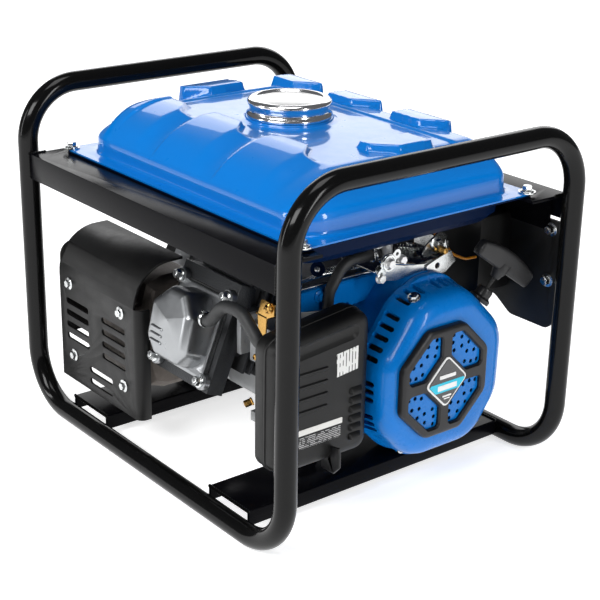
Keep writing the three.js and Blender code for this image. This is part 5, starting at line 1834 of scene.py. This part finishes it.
@dataclass
class Controls:
    """Zinc bracket, throttle, governor and the fuel tap."""

    plate: float = 233.5

    def build(self) -> None:
        """Builds the controls."""
        for node, finish in (("control_bracket", ZINC), ("throttle_lever", ZINC), ("governor_arm", ZINC)):
            refined(node, finish, width=0.5)
        refined("fuel_tap", CAST, width=0.9)
        refined("fuel_tap_lever", BLACK_PLASTIC, width=0.9)
        rod = route([(88, -58, 216), (94, -40, 222), (110, 10, 226), (118, 30, 232)], 10, 6)
        dress(Shape().sweep(rod, circle(1.1, 8)).to_object("governor_rod"), ZINC)
        self._spring("governor_spring", Vector((92, -30, 222)), Vector((112, 28, 232)), 3.2, 18)
        self._spring("throttle_spring", Vector((104, 40, 240)), Vector((132, 70, 240)), 3.4, 14)
        nuts = [(122, 64, 240.2), (100, 20, self.plate), (142, 30, self.plate), (140, 80, self.plate)]
        fasten("control_nuts", nuts, hex_bolt(8.0, 5.0, 6.5), ZINC, (0, 0, 1))
        fasten("throttle_screw", [(150, 76, 244)], hex_bolt(7.0, 12.0, 5.0), GOLD_ZINC, (1, 0, 0))
        self._plates()
        self._lobed_lever()
        wire = route(
            [(131, 79, 262), (140, 94, 244), (150, 96, 234), (158, 108, 228), (156, 126, 226)], 12, 8,
        )
        dress(Shape().sweep(wire, circle(1.5, 10)).to_object("stop_wire"), WIRE_ORANGE)

    @staticmethod
    def _plates() -> None:
        """Folded zinc plates that stand in front of the bracket, and the boss beside the duct."""
        front = [
            (-16, 239), (-8, 229), (11, 225.5), (36, 227.5), (48, 224.5), (62, 226), (64, 238), (49, 235),
            (22, 239), (-4, 246), (-14, 246),
        ]
        plates = Shape().prism(Axis.X, arc_corners(front, 2.5, 4), 157.4, 159.2)
        plates.box((150.0, -8.0, 231.2), (158.6, 60.0, 233.2))
        flag = Shape().prism(
            Axis.X, arc_corners([(50, 233), (82, 243), (89, 230), (77, 221), (54, 223)], 2.5, 4), 159.6,
            161.4,
        )
        flag.prism(Axis.X, arc_corners([(81, 242), (84, 243.5), (91, 231), (88, 229)], 0.8, 3), 150.0, 161.4)
        slab = flag.to_object("governor_flag")
        carved(
            slab, Shape().turned(Axis.X, [(3.4, 158), (3.4, 163)], (65.5, 230.7), 20).to_object("flag_hole"),
        )
        dress(slab, ZINC)
        stay = [(56, 238), (62, 250), (80, 262), (92, 254), (84, 243), (66, 236)]
        plates.prism(Axis.X, arc_corners(stay, 3.0, 4), 146.5, 148.3)
        dress(plates.to_object("control_plates"), ZINC)
        fasten("stay_nut", [(148.3, 74, 250)], hex_bolt(9.0, 6.5, 7.0), ZINC, (1, 0, 0))
        boss = Shape().turned(Axis.Z, [(0, -8), (7.4, -8), (7.4, -0.8), (6.6, 0), (0, 0)], count=32)
        place, towards = Vector((110.0, -50.0, 236.0)), Vector((0.7, -0.65, 0.3))
        # The boss takes the same near-black blue as the lower tank shell, a painted-shade colour.
        dress(boss.moved(facing(towards, place)).to_object("duct_boss"), SHADED_UNDER_BLUE)
        fasten("duct_boss_screw", [place], pan_screw(3.6, 2.6), ZINC, towards)

    @staticmethod
    def _lobed_lever() -> None:
        """Two-lobed lever with a ring round its nut, and the rods and nuts about it."""
        middle, lobes = (-2.6, 247.9), ((8.3, 255.4), (-11.9, 237.9))
        lever = Shape().turned(
            Axis.X, [(9.6, 161.0), (9.6, 162.4), (9.0, 163.0), (0, 163.0)], middle, 40,
        ).to_object("throttle_plate")
        for y, z in lobes:
            lobe = Shape().turned(Axis.X, [(4.8, 161.0), (4.8, 162.6), (0, 162.6)], (y, z), 24)
            across = Vector((middle[1] - z, y - middle[0])).normalized() * 4.2
            my, mz, ay, az = *middle, *across
            ends = [(my - ay, mz - az), (y - ay, z - az), (y + ay, z + az), (my + ay, mz + az)]
            carved(lever, lobe.to_object("lobe"), "UNION")
            carved(lever, Shape().prism(Axis.X, ends, 161.1, 162.5).to_object("web"), "UNION")
            carved(lever, Shape().turned(Axis.X, [(1.9, 160), (1.9, 164)], (y, z), 16).to_object("pin_hole"))
        ring = Shape().ring_turned(
            Axis.X, [(6.4, 162.8), (8.4, 162.8), (8.2, 164.4), (6.6, 164.4)], middle, 36,
        )
        carved(lever, ring.to_object("ring"), "UNION")
        dress(lever, ZINC)
        nuts = [(163.0, *middle), (159.2, 16.3, 247.0), (159.2, -11.0, 233.0)]
        fasten("throttle_nuts", nuts, hex_bolt(8.5, 5.5, 5.4), SATIN_CHROME, (1, 0, 0))
        fasten("tap_union_nut", [(140, 3.0, 262.0)], hex_bolt(12.0, 9.0, 7.4), SATIN_CHROME, (0.3, -0.7, 0.6))
        rods = Shape().sweep(
            route([(166, -2.6, 249), (165, 8, 246), (160, 34, 238.5)], 8, 5), circle(1.4, 10),
        )
        rods.sweep(
            route([(128, -86, 227.5), (131, -8, 229.5), (138, 4, 231.5), (150, 12, 232.5)], 10, 6),
            circle(1.3, 10),
        )
        dress(rods.to_object("control_rods"), ZINC)

    @staticmethod
    def _spring(name: str, start: Vector, end: Vector, radius: float, turns: int) -> None:
        """Coil spring with hooked ends."""
        along = (end - start).normalized()
        side = along.orthogonal().normalized()
        other = along.cross(side)
        count = turns * 10
        line = [start - along * 8]
        for k in range(count + 1):
            turn = 2 * math.pi * k / 10
            spoke = side * math.cos(turn) + other * math.sin(turn)
            line.append(start.lerp(end, k / count) + spoke * radius)
        line.append(end + along * 8)
        dress(Shape().sweep(line, circle(0.7, 6)).to_object(name), ZINC, angle=60)


@dataclass
class ControlPanel:
    """Black panel with outlets, meter, breaker and switch on the far side."""

    face: float = 185.3
    middle: float = 218.0

    def build(self) -> None:
        """Builds the panel."""
        refined("control_panel", SATIN_BLACK, width=0.8, segments=2)
        refined("panel_back_box", SATIN_BLACK, width=2.0, segments=3)
        for side, x in (("left", -120), ("right", -58)):
            refined(f"{side}_ac_outlet", GREY_PLASTIC, width=0.8)
            face = Shape()
            for dx, dz, wide, tall in ((-6.5, 2, 2.2, 8), (6.5, 2, 2.2, 7)):
                z, across = self.middle + dz, x + dx
                slot = rectangle(z - tall / 2, z + tall / 2, across - wide / 2, across + wide / 2, 0.8, 3)
                face.prism(Axis.Y, slot, self.face - 6.2, self.face - 5.4)
            face.turned(Axis.Y, [(2.8, self.face - 6.2), (2.8, self.face - 5.4)], (self.middle - 8, x), 16)
            dress(face.to_object(f"{side}_outlet_slots"), BADGE_BLACK)
        refined("voltmeter", BLACK_PLASTIC, width=0.8)
        dial = Shape().turned(
            Axis.Y, [(14.0, self.face + 4.9), (14.0, self.face + 5.2)], (self.middle, 0), 40,
        )
        dress(dial.to_object("voltmeter_dial"), LABEL)
        refined("breaker_button", RED_PLASTIC, width=0.5)
        refined("engine_switch", RED_PLASTIC, width=0.8)
        socket = Shape().ring_turned(
            Axis.Y, [(4.5, 178.0), (6.0, 178.0), (6.0, 185.0), (10.0, 185.2), (10.0, 186.6), (4.5, 186.6)],
            (self.middle, 126), 32,
        )
        dress(socket.to_object("dc_socket"), CHROME)
        bolts = [(x, self.face, z) for x in (208, -208) for z in (260, 204)]
        fasten("panel_bolts", bolts, hex_bolt(9.0, 6.0, 7.5), ZINC, (0, 1, 0))
        dress(Shape().box((-205, 180.4, 258), (205, 181.8, 296)).to_object("panel_top_strip"), RAIL_BLACK)
        inner = [(x, 182.0, z) for x, _, z in bolts]
        fasten("panel_nuts", inner, hex_bolt(9.0, 7.0, 7.5), ZINC, (0, -1, 0))


@dataclass(frozen=True)
class SoftBox:
    """One area light, hidden from the camera: its place and aim in metres, its size and its watts."""

    name: str
    place: Point3
    target: Point3
    size: Point2
    power: float

    def build(self) -> None:
        """Builds the lamp."""
        data = bpy.data.lights.new(self.name, "AREA")
        data.shape, data.energy = "RECTANGLE", self.power
        data.size, data.size_y = self.size
        lamp = bpy.data.objects.new(self.name, data)
        bpy.context.scene.collection.objects.link(lamp)
        aim = Vector(self.target) - Vector(self.place)
        lamp.matrix_world = Matrix.Translation(self.place) @ aim.to_track_quat("-Z", "Y").to_matrix().to_4x4()
        lamp.visible_camera = False


SOFT_BOXES = (
    SoftBox("key", (0.5, -2.2, 1.9), (0, 0, 0.2), (1.6, 0.9), 54),
    SoftBox("side", (2.8, 0.3, 1.1), (0, 0, 0.2), (0.35, 1.6), 26),
    SoftBox("left", (-1.4, -2.4, 0.9), (0, 0, 0.2), (0.3, 1.6), 16),
    SoftBox("top", (0.2, -0.2, 3.0), (0, 0, 0.2), (1.4, 1.4), 30),
    SoftBox("card", (-3.4, 2.9, 2.0), (0, 0, 0.35), (4.6, 2.2), 70),
)


@dataclass
class Studio:
    """Pale floor, soft lights and the camera."""

    camera: Point3 = (1.14990, -0.90859, 0.72737)
    azimuth: float = 51.17
    elevation: float = 21.257
    roll: float = 1.092
    lens: float = 86.525

    def build(self) -> None:
        """Builds the studio."""
        self._camera()
        self._floor()
        self._lights()

    def _camera(self) -> None:
        """The viewing camera."""
        a, e, r = (math.radians(v) for v in (self.azimuth, self.elevation, self.roll))
        back = Vector((math.sin(a) * math.cos(e), -math.cos(a) * math.cos(e), math.sin(e)))
        right = Vector((math.cos(a), math.sin(a), 0))
        up = back.cross(right)
        side = right * math.cos(r) + up * math.sin(r)
        head = up * math.cos(r) - right * math.sin(r)
        data = bpy.data.cameras.new("camera")
        data.lens, data.sensor_width, data.sensor_fit = self.lens, 36.0, "HORIZONTAL"
        data.clip_start, data.clip_end = 0.05, 50.0
        camera = bpy.data.objects.new("camera", data)
        matrix = Matrix((side, head, back)).transposed().to_4x4()
        matrix.translation = Vector(self.camera)
        camera.matrix_world = matrix
        bpy.context.scene.collection.objects.link(camera)
        bpy.context.scene.camera = camera

    def _floor(self) -> None:
        """Wide pale floor."""
        floor = Shape().box((-9000, -9000, -6), (9000, 9000, 0)).to_object("studio_floor")
        bench = Bench("studio_floor")
        tone = bench.blend(bench.noise(3.0, 2.0), rgb((0.86, 0.86, 0.86)), rgb((0.9, 0.9, 0.9)))
        glow = {
            "Base Color": tone, "Roughness": 0.7, "Emission Color": tone, "Emission Strength": 0.8,
            "Specular IOR Level": 0.1,
        }
        floor.data.materials.append(bench.finish(glow))

    def _lights(self) -> None:
        """Dim surroundings and the soft boxes."""
        world = bpy.data.worlds.new("studio")
        bpy.context.scene.world = world
        world.use_nodes = True
        tree = world.node_tree
        backdrop = tree.nodes["Background"]
        backdrop.inputs["Color"].default_value = (0.92, 0.94, 1.0, 1)
        backdrop.inputs["Strength"].default_value = 0.12
        for box in SOFT_BOXES:
            box.build()


def main() -> None:
    """Builds the studio and the set in order."""
    logging.basicConfig(level=logging.INFO, format="%(message)s")
    bpy.context.scene.view_settings.view_transform = "Standard"
    sets = (TubeFrame, FuelTank, Engine, Alternator, RecoilStarter, Intake, Exhaust, Controls, ControlPanel)
    for part in (Studio(), *(kind() for kind in sets)):
        LOG.info("building %s", type(part).__name__)
        part.build()
    recoat("cap_gasket", RUBBER)
    recoat("fuel_strainer", WHITE_PLASTIC)


if __name__ == "__main__":
    main()
